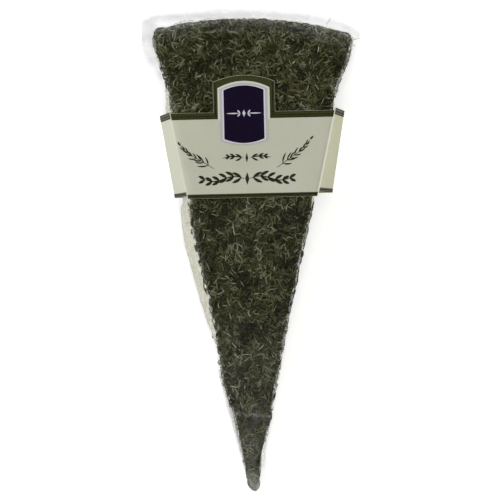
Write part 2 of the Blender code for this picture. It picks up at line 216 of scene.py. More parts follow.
# The sprigs' feet and tips (x, s), and the middle of the rule and the garland.
SPRIGS = (((-0.01060, 0.08545), (-0.01975, 0.09215)), ((0.00600, 0.08545), (0.01535, 0.09310)))
RULE_X = -0.0019

# Each print's ink, how far it lies off the card, its two shades in 8-bit sRGB, its roughness and its gloss.
PRINTS = {
    "print_olive": ("olive_ink", 0.00003, (58, 60, 32), (70, 72, 42), 0.5, 0.03),
    "print_lines": ("dark_line_ink", 0.00005, (24, 25, 8), (34, 35, 14), 0.6, 0.0),
    "print_frame_cream": ("cream_ink", 0.00007, (221, 221, 205), (230, 230, 217), 0.5, 0.03),
    "print_frame_grey": ("grey_ink", 0.00009, (192, 193, 189), (203, 203, 199), 0.5, 0.03),
    "print_frame_lilac": ("lilac_ink", 0.00011, (226, 224, 234), (236, 234, 243), 0.5, 0.03),
    "print_badge": ("navy_ink", 0.00013, (22, 14, 34), (30, 21, 46), 0.5, 0.03),
    "print_badge_rule": ("pale_ink", 0.00015, (205, 203, 214), (220, 218, 228), 0.5, 0.03),
    "print_ornament": ("dark_green_ink", 0.00004, (44, 45, 30), (56, 57, 40), 0.5, 0.03),
}

# The film: the most that it shines at a glancing angle, the cells that it is cut into, how far out it looks
# for what lies under it, how far that may lift it, and how often it is drawn tight.
MOST_GLOSS = 0.20
FILM_CUTS = (96, 236, 42)
FILM_REACH = 0.0026
MOST_REST = 0.0015
FILM_PASSES = 5

# The photograph's frame: metres a pixel at the herb face, how far above it the camera is, where the wedge's
# point is, in pixels, and by how many pixels the middle line leans to the left over LEAN_LENGTH.
PIXEL = 0.0002643
FRAME_PIXELS = 500
CAMERA_ABOVE = 1.5
SENSOR = 36.0
POINT_COLUMN, POINT_ROW = 255, 491.1
LEAN_PIXELS = 1.5
LEAN_LENGTH = 0.125

# The studio: each softbox's name, place, size and power. They face LIGHT_TARGET.
WORLD_STRENGTH = 0.13
LIGHT_TARGET = (0, 0, 0.02)
LIGHTS = (
    ("left softbox", (-0.64, 0.05, 0.60), (0.9, 0.7), 3.0),
    ("right softbox", (0.64, 0.05, 0.60), (0.9, 0.7), 1.5),
    ("back softbox", (0.0, 0.72, 0.66), (0.9, 0.5), 2.5),
    ("front softbox", (0.0, -0.80, 0.66), (0.9, 0.5), 2.2),
)
FLOOR_HALF = 3.0
FLOOR_DROP = 0.0002
WHITE = (1, 1, 1, 1)


def ease(low, high, value):
    """0 below low and 1 above high, with a smooth rise between them."""
    t = min(max((value - low) / (high - low), 0.0), 1.0)
    return t * t * (3 - 2 * t)


def mix(a, b, share):
    return a + (b - a) * share


def side_of(x):
    return -1 if x < 0 else 1


def half_width(s, side):
    """Half the top face's width at s, on the left (side -1) or the right (side 1)."""
    wide = RIND_HALF_CHORD * s / RIND_CORNER_S
    if side < 0:
        wide += LEFT_BELLY * (1 - ease(*LEFT_BELLY_END, s))
    else:
        wide -= RIGHT_HOLLOW * ease(*RIGHT_HOLLOW_START, s) * (1 - ease(*RIGHT_HOLLOW_END, s))
    for place, spread, height in LEFT_DENTS if side < 0 else RIGHT_DENTS:
        wide += height * math.exp(-(((s - place) / spread) ** 2))
    least = POINT_HALVES[0 if side < 0 else 1]
    return (max(wide, 0.0) ** POINT_BLEND + least**POINT_BLEND) ** (1 / POINT_BLEND)


def lean(s, side):
    """How far the cut side stands out at its foot, beyond the top face's edge."""
    if side > 0:
        return RIGHT_LEAN * ease(*RIGHT_LEAN_START, s)
    free = LEFT_LEAN * ease(*LEFT_LEAN_START, s)
    held = mix(free, LEFT_LEAN_IN_SLEEVE, ease(*LEFT_LEAN_HELD, s))
    return mix(held, LEFT_LEAN_AT_RIND, ease(*LEFT_LEAN_FADE, s))


def flange_width(s, side):
    """How far the flange stands out beyond the top face's edge."""
    if side > 0:
        return mix(FLANGE_RIGHT_AT_POINT, FLANGE_RIGHT, ease(*FLANGE_RIGHT_START, s))
    free = mix(FLANGE_LEFT_AT_POINT, FLANGE_LEFT, ease(*FLANGE_LEFT_START, s))
    held = mix(free, FLANGE_LEFT_IN_SLEEVE, ease(*FLANGE_LEFT_HELD, s))
    return mix(held, FLANGE_LEFT_AT_RIND, ease(*FLANGE_LEFT_WIDENS, s))


def down_the_side(z):
    """How much of the lean a cut side has at z: none at the top and all of it at the foot."""
    return 1 - min(max(z / WEDGE_HEIGHT, 0.0), 1.0) ** LEAN_POWER


def rind_s(across):
    return WEDGE_LENGTH - RIND_SAGITTA * across**2 - RIND_TILT * across


def flange_outline():
    """Points (x, s) round the flange's edge, anticlockwise from the point of the wedge."""
    right, left = [], []
    for step in range(FLANGE_STEPS + 1):
        s = RIND_CORNER_S * step / FLANGE_STEPS
        ripple = FLANGE_RIPPLE * math.sin(s * FLANGE_RIPPLE_TURNS)
        right.append((half_width(s, 1) + flange_width(s, 1) + ripple, s))
        left.append((-half_width(s, -1) - flange_width(s, -1) + ripple, s))
    top = []
    for step in range(FLANGE_STEPS + 1):
        across = 1 - 2 * step / FLANGE_STEPS
        corner = FLANGE_LEFT_CORNER if across < 0 else FLANGE_RIGHT_CORNER
        edge = mix(FLANGE_RIND, corner, abs(across) ** 6)
        x = mix(left[-1][0], right[-1][0], (across + 1) / 2)
        top.append((x, rind_s(across) + edge + FLANGE_RIPPLE * math.sin(x * FLANGE_RIPPLE_TURNS)))
    point = []
    for step in range(1, 6):
        angle = math.pi * (1 + step / 6)
        middle = (right[0][0] + left[0][0]) / 2
        reach = (right[0][0] - left[0][0]) / 2
        point.append((middle + reach * math.cos(angle), FLANGE_POINT * math.sin(angle)))
    return right + top + left[::-1] + point


def plan_centre():
    xs, ys = zip(*flange_outline())
    return (min(xs) + max(xs)) / 2, (min(ys) + max(ys)) / 2


CENTRE_X, CENTRE_S = plan_centre()


def put(x, s, z):
    """A point in the frame's coordinates."""
    return Vector((x - CENTRE_X, s - CENTRE_S, z))


def to_object(points):
    """Many points in the frame's coordinates."""
    return np.asarray(points) - np.array((CENTRE_X, CENTRE_S, 0.0))


# Small tools for materials

class Look:
    """A node material, built up by short calls."""

    def __init__(self, name):
        self.mat = bpy.data.materials.new(name)
        self.mat.use_nodes = True
        self.tree = self.mat.node_tree
        self.shader = self.tree.nodes["Principled BSDF"]
        self.output = self.tree.nodes["Material Output"]
        self.place = self.node("ShaderNodeTexCoord").outputs["Object"]

    def feed(self, value, socket):
        if isinstance(value, bpy.types.NodeSocket):
            self.tree.links.new(value, socket)
        else:
            socket.default_value = value

    def node(self, kind, sockets=None, **settings):
        """A new node with its settings made and its sockets fed, each by its name or number."""
        made = self.tree.nodes.new(kind)
        for key, value in settings.items():
            setattr(made, key, value)
        for key, value in (sockets or {}).items():
            self.feed(value, made.inputs[key])
        return made

    def noise(self, scale, detail=3.0, roughness=0.55, distortion=0.0):
        grain = {"Scale": scale, "Detail": detail, "Roughness": roughness, "Distortion": distortion}
        return self.node("ShaderNodeTexNoise", {"Vector": self.place, **grain}).outputs["Fac"]

    def cells(self, scale):
        return self.node("ShaderNodeTexVoronoi", {"Vector": self.place, "Scale": scale}).outputs["Distance"]

    def attribute(self, name):
        return self.node("ShaderNodeAttribute", attribute_name=name).outputs["Fac"]

    def math(self, operation, a, b, clamp=False):
        return self.node("ShaderNodeMath", {0: a, 1: b}, operation=operation, use_clamp=clamp).outputs[0]

    def add_share(self, a, b, share):
        """The value a with a share of b added."""
        return self.math("ADD", a, self.math("MULTIPLY", b, share))

    def ramp(self, value, *stops):
        """A colour ramp through stops of (place, colour), where a colour is three numbers or one grey."""
        made = self.node("ShaderNodeValToRGB", {"Fac": value})
        elements = made.color_ramp.elements
        while len(elements) < len(stops):
            elements.new(0.5)
        for element, (place, colour) in zip(elements, stops):
            element.position = place
            colour = (colour,) * 3 if isinstance(colour, (int, float)) else colour
            element.color = (*colour, 1)
        return made.outputs["Color"]

    def blend(self, share, a, b):
        a, b = (value if isinstance(value, bpy.types.NodeSocket) else (*value, 1) for value in (a, b))
        made = self.node("ShaderNodeMix", {"Factor": share, "A": a, "B": b}, data_type="RGBA")
        return made.outputs["Result"]

    def bump(self, height, distance, strength):
        relief = {"Height": height, "Distance": distance, "Strength": strength}
        return self.node("ShaderNodeBump", relief).outputs["Normal"]

    def cover(self, share, under, over):
        """One shader, with a share of another laid over it."""
        sockets = {"Fac": share, 1: under.outputs[0], 2: over.outputs[0]}
        return self.node("ShaderNodeMixShader", sockets)

    def set(self, **sockets):
        """Feeds the main shader's sockets, with _ for the spaces in their names."""
        for name, value in sockets.items():
            self.feed(value, self.shader.inputs[name.replace("_", " ")])


def srgb(r, g, b):
    """Linear colour of 8-bit sRGB values."""
    return tuple((c / 255 / 12.92) if c <= 10 else ((c / 255 + 0.055) / 1.055) ** 2.4 for c in (r, g, b))


def cheese_look():
    """Pale goat cheese on the cut sides, dark and herb-stained under the coat."""
    look = Look("cheese")
    paste = look.ramp(look.noise(160, 4), (0.3, srgb(198, 196, 177)), (0.7, srgb(212, 211, 194)))
    eyes = look.ramp(look.cells(260), (0.05, 0.0), (0.14, 1.0))
    paste = look.blend(eyes, srgb(177, 174, 152), paste)
    stain = look.ramp(look.noise(420, 5, 0.7), (0.35, srgb(25, 25, 10)), (0.7, srgb(45, 44, 26)))
    grit = look.noise(900, 4, 0.7)
    edge = look.ramp(look.add_share(look.attribute("coat"), grit, 0.8), (0.80, 0.0), (0.94, 1.0))
    dusty = look.ramp(look.add_share(look.attribute("dust"), grit, 0.9), (0.60, 0.0), (1.15, 0.72))
    paste = look.blend(dusty, paste, srgb(84, 86, 62))
    look.set(Base_Color=look.blend(edge, paste, stain), Specular_IOR_Level=0.12)
    look.set(Roughness=look.ramp(look.noise(300), (0.3, 0.42), (0.7, 0.6)))
    look.set(Subsurface_Weight=0.12, Subsurface_Scale=0.002, Subsurface_Radius=(1.0, 0.8, 0.5))
    look.set(Normal=look.bump(look.noise(700, 4), 0.00012, 0.6))
    return look.mat


def herb_look(name, shades):
    """Dried rosemary: each needle has its own tone, with a grain along it."""
    look = Look(name)
    grain = look.noise(1400, 3, 0.6)
    tone = look.add_share(look.math("MULTIPLY", look.attribute("tone"), 0.84), grain, 0.16)
    places = (0.10, 0.34, 0.56, 0.78, 0.95)
    look.set(Base_Color=look.ramp(tone, *((place, srgb(*shade)) for place, shade in zip(places, shades))))
    look.set(Roughness=look.ramp(grain, (0.3, 0.45), (0.7, 0.7)), Specular_IOR_Level=0.07)
    look.set(Normal=look.bump(look.noise(2600, 2), 0.00005, 0.5))
    return look.mat


def film_look(name, haze_and_painted_light, milk_colour, roughness, tint, attribute=None, shine=None, wrinkle=500):
    """Clear film: it shows what is behind it, with a slight haze that is partly painted light, and soft
    glints.
    """
    look = Look(name)
    look.tree.nodes.remove(look.shader)
    normal = look.bump(look.noise(wrinkle, 3, 0.5, 0.6), 0.0002, 0.5)
    clear = look.node("ShaderNodeBsdfTransparent", {"Color": (*tint, 1)})
    gloss = look.node("ShaderNodeBsdfGlossy", {"Color": WHITE, "Roughness": roughness, "Normal": normal})
    milk = look.node("ShaderNodeBsdfDiffuse", {"Color": (*milk_colour, 1), "Normal": normal})
    glint = look.ramp(look.noise(760, 3, 0.6, 0.8), (0.42, 0.06), (0.66, 1.0))
    share = look.node("ShaderNodeFresnel", {"IOR": 1.45, "Normal": normal}).outputs[0]
    if shine:
        share = look.math("MULTIPLY", share, look.attribute(shine))
    share = look.math("MULTIPLY", look.math("MINIMUM", share, MOST_GLOSS), glint)
    # The milky layer's amount is partly painted light: highlights on the film and the folds, grey shade on
    # the flange.
    amount = look.ramp(look.noise(260, 4, 0.6, 1.0), (0.35, haze_and_painted_light[0]), (0.75, haze_and_painted_light[1]))
    if attribute:
        amount = look.math("ADD", amount, look.attribute(attribute), clamp=True)
    whole = look.cover(share, look.cover(amount, clear, milk), gloss)
    look.feed(whole.outputs[0], look.output.inputs["Surface"])
    return look.mat


def card_look():
    """Smooth coated card, with faint fibre mottling; its shaded side gets a yellower tint as painted shade,
    its creases a painted highlight.
    """
    look = Look("card")
    fibre = look.noise(2200, 4, 0.6)
    cloud = look.noise(90, 3)
    tone = look.add_share(look.math("MULTIPLY", fibre, 0.45), cloud, 0.55)
    pale = look.ramp(tone, (0.3, srgb(204, 204, 184)), (0.7, srgb(214, 214, 195)))
    # The yellower tint is painted shade with reflected colour, laid on the card's right side.
    yellow = look.ramp(tone, (0.3, srgb(198, 199, 164)), (0.7, srgb(208, 209, 177)))
    colour = look.blend(look.attribute("shade"), pale, yellow)
    # The pale colour along the creases is a painted highlight.
    look.set(Base_Color=look.blend(look.attribute("crease_highlight"), colour, srgb(250, 248, 226)))
    look.set(Roughness=look.ramp(fibre, (0.3, 0.5), (0.7, 0.62)), Specular_IOR_Level=0.08)
    look.set(Normal=look.bump(fibre, 0.00003, 0.3))
    return look.mat


def ink_look(name, low, high, roughness, gloss):
    """Printed ink: a little uneven, as card takes it."""
    look = Look(name)
    fibre = look.noise(1800, 4, 0.65)
    look.set(Base_Color=look.ramp(fibre, (0.32, srgb(*low)), (0.68, srgb(*high))))
    look.set(Roughness=look.ramp(fibre, (0.3, roughness - 0.06), (0.7, roughness + 0.08)))
    look.set(Specular_IOR_Level=gloss, Normal=look.bump(fibre, 0.00002, 0.3))
    return look.mat


# Meshes

def add_piece(name, points, faces, material, smooth=True, replaces=None):
    """A mesh piece that rides on the part, in the frame's coordinates."""
    mesh = bpy.data.meshes.new(name)
    mesh.from_pydata([tuple(p) for p in points], [], [tuple(int(i) for i in f) for f in faces])
    mesh.update()
    if smooth:
        mesh.shade_smooth()
    made = bpy.data.objects.new(name, mesh)
    bpy.context.scene.collection.objects.link(made)
    mesh.materials.append(material)
    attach(made, "root")
    if replaces:
        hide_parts(replaces)
    return made


def set_tone(obj, name, values):
    """Gives each vertex a value that the piece's material reads by its name."""
    layer = obj.data.attributes.new(name, "FLOAT", "POINT")
    layer.data.foreach_set("value", np.asarray(values, np.float32))


def box_grid(nx, ny, nz):
    """Vertices (in -1 to 1) and quads, facing out, of a box's surface cut into nx, ny and nz cells."""
    index = {}
    points = []
    quads = []
    cells = (nx, ny, nz)

    def vertex(lattice):
        if lattice not in index:
            index[lattice] = len(points)
            points.append(tuple(2 * i / n - 1 for i, n in zip(lattice, cells)))
        return index[lattice]

    for axis in range(3):
        u, v = (axis + 1) % 3, (axis + 2) % 3
        for end in (0, cells[axis]):
            for i in range(cells[u]):
                for j in range(cells[v]):
                    ring = []
                    for du, dv in ((0, 0), (1, 0), (1, 1), (0, 1)):
                        lattice = [0, 0, 0]
                        lattice[axis], lattice[u], lattice[v] = end, i + du, j + dv
                        ring.append(vertex(tuple(lattice)))
                    quads.append(ring if end else ring[::-1])
    return points, quads


def grid_faces(rows, closed=False):
    """Quads between rows of vertex numbers, where a closed row runs on into its own start."""
    faces = []
    for low, high in zip(rows, rows[1:]):
        for i in range(len(low) if closed else len(low) - 1):
            j = (i + 1) % len(low)
            faces.append((low[i], low[j], high[j], high[i]))
    return faces


def rounded(point, half, radius):
    """A point of a box's surface, moved in onto the box with its edges rounded."""
    core = Vector(max(-h + radius, min(h - radius, p)) for p, h in zip(point, half))
    out = point - core
    reach = max(abs(out.x), abs(out.y), abs(out.z))
    return core if reach < 1e-9 else core + out * (reach / out.length)


def closer_to_edges(t, half):
    """A place in -1 to 1 moved so that more of the cells lie in the rounded edges."""
    margin = EDGE_RADIUS / half
    inner = abs(t) * (1 - margin)
    return math.copysign(inner + margin * abs(t) ** 8, t)


def wedge_point(across, along, up):
    """A point of the smooth wedge, from its place in the cage: across and along in -1 to 1, up in 0 to 1."""
    b = (along + 1) / 2
    dome = RIND_DOME * abs(2 * up - 1) ** 4 * ease(0.90, 1.0, b)
    s = POINT_ROUND * across**2 * (1 - b) + (rind_s(across) - dome) * b
    z = up * WEDGE_HEIGHT
    z -= POINT_SLUMP * up * (1 - ease(0.0, 0.35, b))
    side = side_of(across)
    x = across * (half_width(s, side) + lean(s, side) * down_the_side(z))
    return Vector((x, s, z))


def lump(point):
    coarse = noise.noise(point / LUMP_SIZE)
    fine = noise.noise(point / (LUMP_SIZE * 0.45) + Vector((9, 4, 2)))
    return coarse + 0.5 * fine


def sleeve_frame(x, s):
    """(x, s) of a plan point in the sleeve's own upright frame."""
    return x + SLEEVE_TILT * (s - SLEEVE_MIDDLE_S), s - SLEEVE_TILT * x


def sleeve_along(s):
    """How far along the sleeve s is, from 0 at its low edge to 1 at its top edge."""
    return (s - SLEEVE_LOW_S) / (SLEEVE_TOP_S - SLEEVE_LOW_S)


def section_frame(along):
    """The x of the sleeve's two creases and of its two feet at along."""
    creases = [mix(low, top, along) for low, top in zip(SLEEVE_CREASES_LOW, SLEEVE_CREASES_TOP)]
    feet = [mix(low, top, along) for low, top in zip(SLEEVE_FEET_LOW, SLEEVE_FEET_TOP)]
    return creases, feet


def side_shift(x, s, z):
    """How far the sleeve's sides and back, below its creases, lie out and nearer the rind than its front."""
    share = ease(-SLEEVE_TURNOVER, SLEEVE_TURNOVER, x)
    turn = SLEEVE_TOP_Z - mix(*SLEEVE_RADII, share)
    rise = mix(mix(*SLEEVE_RISES_LOW, share), mix(*SLEEVE_RISES_TOP, share), sleeve_along(s))
    rise *= 1 - ease(turn - SLEEVE_NOTCH, turn, z)
    length = SLEEVE_TOP_S - SLEEVE_LOW_S
    splays = [(top - low) / length for low, top in zip(SLEEVE_CREASES_LOW, SLEEVE_CREASES_TOP)]
    return rise * mix(*splays, share), rise


def under_sleeve(x, s, margin):
    """Whether a plan point is under the sleeve's front, which is margin larger all round."""
    x, s = sleeve_frame(x, s)
    if s < SLEEVE_LOW_S - margin:
        return False
    if s < SLEEVE_TOP_S + margin:
        return True
    return abs(x - TAB_X) < TAB_HALF + margin and s < TAB_CORNER_S + TAB_ARCH + margin


def held_by_sleeve(x, s, z, spare):
    """A point pushed inside the card where the sleeve goes round it, and off the floor elsewhere."""
    upper = z > WEDGE_HEIGHT / 2
    if upper and not under_sleeve(x, s, SLEEVE_GRIP):
        return x, s, z
    out, rise = side_shift(x, s, z)
    plan_x, plan_s = sleeve_frame(x - out, s - rise)
    if not SLEEVE_LOW_S - SLEEVE_GRIP < plan_s < SLEEVE_TOP_S + SLEEVE_GRIP:
        return x, s, min(z, SLEEVE_PANEL_Z - spare) if upper else max(z, spare)
    creases, feet = section_frame(min(max(sleeve_along(plan_s), 0.0), 1.0))
    index = 0 if plan_x < 0 else 1
    crease, foot, radius = abs(creases[index]), abs(feet[index]), SLEEVE_RADII[index]
    z = min(max(z, CARD + spare), SLEEVE_PANEL_Z - spare)
    reach = abs(plan_x)
    turn_x, turn_z = crease - radius, SLEEVE_TOP_Z - radius
    if reach > turn_x and z > turn_z:
        away = math.hypot(reach - turn_x, z - turn_z)
        most = radius - CARD - spare
        if away > most:
            reach = turn_x + (reach - turn_x) * most / away
            z = turn_z + (z - turn_z) * most / away
    share = (turn_z - z) / (turn_z - SLEEVE_FOOT_RADIUS)
    reach = min(reach, mix(crease, foot, min(max(share, 0.0), 1.0)) - CARD - spare)
    return x + side_of(plan_x) * (reach - abs(plan_x)), s, z


def normals_of(points, faces):
    """Unit vertex normals of a quad mesh."""
    p = np.asarray(points)
    f = np.asarray(faces)
    n = np.cross(p[f[:, 2]] - p[f[:, 0]], p[f[:, 3]] - p[f[:, 1]])
    total = np.zeros_like(p)
    for corner in range(4):
        np.add.at(total, f[:, corner], n)
    return total / np.maximum(np.linalg.norm(total, axis=1, keepdims=True), 1e-15)


def relief(point, normal, across, along, up):
    """A point of the smooth wedge with the lumps of its coat and the notches in its edge added."""
    herbs = max(ease(0.93, 1.0, up), ease(0.94, 1.0, along) * ease(0.0, 0.1, up))
    size = mix(SIDE_LUMP, LUMP, herbs) * ease(0.02, 0.12, up)
    if under_sleeve(point.x, point.y, 0.001) and up > 0.9:
        size *= 0.1
    moved = point + Vector(normal) * size * lump(point)
    if under_sleeve(point.x, point.y, 0.0012):
        return moved
    rim = ease(0.86, 0.97, up) * max(ease(0.90, 1.0, abs(across)), ease(0.975, 1.0, along))
    notch = noise.noise(point / NOTCH_SIZE + Vector((3, 8, 5))) - 0.25
    flat = Vector((normal[0], normal[1], 0.0))
    return moved + flat * (NOTCH * rim * ease(0.004, 0.040, point.y) * min(notch, 0.35))


def wedge_surface(cuts):
    """Points (x, s, z), faces, normals and places in the cage of the lumpy wedge."""
    cage, faces = box_grid(*cuts)
    half = Vector((RIND_HALF_CHORD, WEDGE_LENGTH / 2, WEDGE_HEIGHT / 2))
    points, places = [], []
    for corner in cage:
        even = Vector(closer_to_edges(t, h) * h for t, h in zip(corner, half))
        soft = rounded(even, half, EDGE_RADIUS)
        across, along, up = (p / h for p, h in zip(soft, half))
        places.append((across, along, (up + 1) / 2))
        points.append(wedge_point(*places[-1]))
    normals = normals_of(points, faces)
    lumpy = [relief(point, normal, *place) for point, normal, place in zip(points, normals, places)]
    return np.array(lumpy), faces, normals, np.array(places)


def inset(along):
    """How far the cheese is set in from the film."""
    return CHEESE_INSET + RIND_INSET * ease(0.93, 0.985, along)


def coat_share(along, up, x, s):
    """1 on the herb-coated faces of the cheese and 0 on its bare cut sides."""
    bare = ease(0.030, 0.048, s) * (1 - ease(SLEEVE_LOW_S, SLEEVE_TOP_S, s)) if x < 0 else 0.0
    on_top = ease(mix(0.918, 0.945, bare), mix(0.953, 0.972, bare), up)
    on_back = 1 - ease(0.028, 0.074, up)
    on_rind = ease(0.932, 0.972, along)
    on_point = ease(0.962, 0.975, -along) * ease(0.75, 0.95, up)
    return max(on_top, on_back, on_rind, on_point)


def dust_share(up, x, s):
    """How dusty with herbs a cut side is, which it is by its upper edge and its foot."""
    low = mix(0.78, 0.90, ease(0.010, 0.040, s))
    if x < 0 and s > SLEEVE_TOP_S:
        low = 0.55
    return max(ease(low, 0.955, up), 0.6 * (1 - ease(0.045, 0.100, up)))


def make_cheese():
    """The cheese, set in from the film. Gives its points and faces."""
    points, faces, normals, places = wedge_surface(CHEESE_CUTS)
    points = points - normals * np.array([inset(place[1]) for place in places])[:, None]
    for p in points:
        p[:] = held_by_sleeve(*p, CHEESE_SPARE)
    made = add_piece("cheese", to_object(points), faces, cheese_look())
    spots = [(along, up, x, s) for (_, along, up), (x, s, _) in zip(places, points)]
    set_tone(made, "coat", [coat_share(*spot) for spot in spots])
    set_tone(made, "dust", [dust_share(*spot[1:]) for spot in spots])
    return points, faces


def tree_of(pieces):
    """One tree, for finding surface points, of the points and faces of several pieces."""
    points, faces, first = [], [], 0
    for some_points, some_faces in pieces:
        points.append(some_points)
        faces += [tuple(int(i) + first for i in face) for face in some_faces]
        first += len(some_points)
    return BVHTree.FromPolygons([Vector(p) for p in np.vstack(points)], faces)


def needle_template(rings):
    """A unit spindle along x: rings of points, then its two ends, and its faces."""
    sides = NEEDLE_SIDES
    rows = []
    for ring in range(rings):
        x = -1 + 2 * (ring + 1) / (rings + 1)
        girth = (1 - abs(x) ** 2.4) ** 0.5
        for side in range(sides):
            angle = 2 * math.pi * (side + 0.5) / sides
            rows.append((x, math.cos(angle) * girth, math.sin(angle) * girth))
    rows += [(-1, 0, 0), (1, 0, 0)]
    faces = []
    for ring in range(rings - 1):
        for side in range(sides):
            a, b = ring * sides + side, ring * sides + (side + 1) % sides
            faces += [(a, a + sides, b), (b, a + sides, b + sides)]
    low, high = rings * sides, rings * sides + 1
    for side in range(sides):
        after = (side + 1) % sides
        faces.append((low, side, after))
        faces.append((high, (rings - 1) * sides + after, (rings - 1) * sides + side))
    return np.array(rows), np.array(faces)


def coat_patch(point):
    """Light and dark patches of the coat, in three sizes."""
    large = noise.noise(point / 0.0058 + Vector((5, 1, 3)))
    return 0.9 * large + noise.noise(point / 0.0026) + 0.7 * noise.noise(point / 0.0011)


def side_ray(side, s, z):
    """A ray (start, way) that meets a cut side at s and z."""
    return Vector((side * 0.04, s, z)), Vector((-side, 0, 0))


def herb_ray(pick, x, draw):
    """A ray (start, way) towards the place that pick chooses for a herb, or None where none lies."""
    side = side_of(x)
    if pick < ON_TOP:
        s = draw.uniform(-0.0004, WEDGE_LENGTH)
        if under_sleeve(x, s, -HERB_TUCK):
            return None
        return Vector((x, s, WEDGE_HEIGHT + 0.01)), Vector((0, 0, -1))
    if pick < ON_UPPER_EDGE:
        s = draw.uniform(0.0, RIND_CORNER_S)
        z = WEDGE_HEIGHT - abs(draw.gauss(0, STRAY_DEPTHS[side > 0])) - 0.0006
        bare = side < 0 and BARE_S < s < SLEEVE_LOW_S and z < WEDGE_HEIGHT - LEFT_FRINGE
        return None if bare or CLEAR_SIDES[0] < s < CLEAR_SIDES[1] else side_ray(side, s, z)
    if pick < BESIDE_RIND:
        s = RIND_CORNER_S + 0.0012 - abs(draw.gauss(0, 0.0016))
        return side_ray(side, s, draw.uniform(0.0010, WEDGE_HEIGHT - 0.0030))
    if pick < AT_FOOT:
        s, z = draw.uniform(0.002, RIND_CORNER_S), draw.uniform(0.0001, FOOT_HEIGHTS[side > 0])
        return None if CLEAR_SIDES[0] < s < CLEAR_SIDES[1] else side_ray(side, s, z)
    if pick < ON_RIND:
        return Vector((x, WEDGE_LENGTH + 0.01, draw.uniform(0.0002, WEDGE_HEIGHT))), Vector((0, -1, 0))
    s = draw.uniform(0.0, WEDGE_LENGTH)
    if SLEEVE_LOW_S < s - SLEEVE_RISES_LOW[0] < SLEEVE_TOP_S + 0.001:
        return None
    if abs(x) > half_width(min(s, RIND_CORNER_S), side) + lean(s, side) - 0.0016:
        return None
    return Vector((x, s, -0.01)), Vector((0, 0, 1))


def herb_spots(tree, count, draw):
    """Spots (point, normal) where herbs lie: on the top, the rind and the back, and by the cut edges."""
    spots = []
    while len(spots) < count:
        pick = draw.random()
        x = draw.uniform(-1, 1) * (RIND_HALF_CHORD + 0.0012)
        ray = herb_ray(pick, x, draw)
        if ray is None:
            continue
        steep = 0.6 if ON_TOP <= pick < ON_UPPER_EDGE else 0.25
        hit, normal, _, _ = tree.ray_cast(*ray)
        if hit is not None and normal.dot(-ray[1]) >= steep:
            spots.append((hit, normal))
    return spots


def add_scatter(name, copies, template, tones, material, smooth=True):
    """Joins copies of one small shape, each with its own tone, into a piece. Gives its points and faces."""
    size = len(copies[0])
    points = np.vstack(copies)
    for p in points:
        p[:] = held_by_sleeve(*p, HERB_SPARE)
    faces = np.vstack([template + size * i for i in range(len(copies))])
    made = add_piece(name, to_object(points), faces, material, smooth)
    set_tone(made, "tone", np.repeat(np.clip(tones, 0.0, 1.0), size))
    return points, faces


def hug(placed, rings, tree, lift):
    """Moves each ring of a needle, and each of its two ends, to lift above the cheese."""
    body = rings * NEEDLE_SIDES
    parts = [slice(i, i + NEEDLE_SIDES) for i in range(0, body, NEEDLE_SIDES)]
    for part in (*parts, slice(body, body + 1), slice(body + 1, body + 2)):
        centre = Vector(placed[part].mean(axis=0))
        near, out, _, _ = tree.find_nearest(centre)
        placed[part] += np.array(near + out * lift - centre)


def make_herbs(name, tree, draw, material):
    """One kind of needle, scattered over the coat, each lying its own way and hugging the cheese."""
    count, lengths, widths, rings = HERB_KINDS[name]
    rows, template = needle_template(rings)
    along, across, up = rows.T
    needles, tones = [], []
    for hit, normal in herb_spots(tree, count, draw):
        length = draw.uniform(*lengths) / 2
        width = draw.uniform(*widths) / 2
        bend = draw.uniform(-0.26, 0.26) * length
        swerve = draw.uniform(-0.14, 0.14) * length
        high = draw.random()
        lift = 0.00003 + 0.00036 * high
        if hit.z > 0.9 * WEDGE_HEIGHT:
            lift *= 1 + 1.6 * (1 - abs(normal.z)) * ease(0.008, 0.035, hit.y)
        curve = across * width + bend * along**2 + swerve * np.sin(math.pi * along)
        local = np.column_stack((along * length, curve, up * width * 0.7))
        turn = normal.to_track_quat("Z", "Y").to_matrix()
        angle = draw.uniform(0, 2 * math.pi)
        if hit.z < 0.002 and abs(normal.x) > 0.3:
            way = turn.inverted() @ Vector((0, 1, 0))
            angle = math.atan2(way.y, way.x) + 0.08 * math.sin(7 * angle)
        spin = Matrix.Rotation(angle, 3, "Z")
        tip = Matrix.Rotation(draw.gauss(0, 0.05), 3, "Y")
        placed = local @ np.array(turn @ spin @ tip).T + np.array(hit)
        hug(placed, rings, tree, lift)
        needles.append(placed)
        upper = ease(0.090, 0.105, hit.y)
        patch = (0.33 - 0.06 * upper) * coat_patch(hit)
        # Needles that lie lower are darker: painted shade between the needles.
        tone = 0.40 + 0.02 * upper + patch + 0.28 * (high - 0.5) + draw.gauss(0, 0.18)
        tones.append(tone + 0.3 if draw.random() < 0.12 - 0.03 * upper else tone)
    return add_scatter(name, needles, template, tones, material)


def make_crumbs(tree, draw, material):
    """Small broken flakes of herb between the needles."""
    shape = np.array([(1, 0, 0), (-0.4, 0.8, 0), (-0.5, -0.7, 0), (0, 0, 0.7), (0, 0, -0.4)])
    template = np.array([(0, 1, 3), (1, 2, 3), (2, 0, 3), (1, 0, 4), (2, 1, 4), (0, 2, 4)])
    crumbs, tones = [], []
    for hit, normal in herb_spots(tree, CRUMBS, draw):
        size = draw.uniform(*CRUMB_SIZES)
        turn = normal.to_track_quat("Z", "Y").to_matrix()
        spin = Matrix.Rotation(draw.uniform(0, 2 * math.pi), 3, "Z")
        stretch = np.array((draw.uniform(0.8, 1.8), 1.0, 0.6)) * size
        placed = (shape * stretch) @ np.array(turn @ spin).T
        crumbs.append(placed + np.array(hit + normal * draw.uniform(0, 0.00025)))
        tones.append(0.4 + 0.3 * coat_patch(hit) + draw.gauss(0, 0.16))
    add_scatter("herb_crumbs", crumbs, template, tones, material, smooth=False)


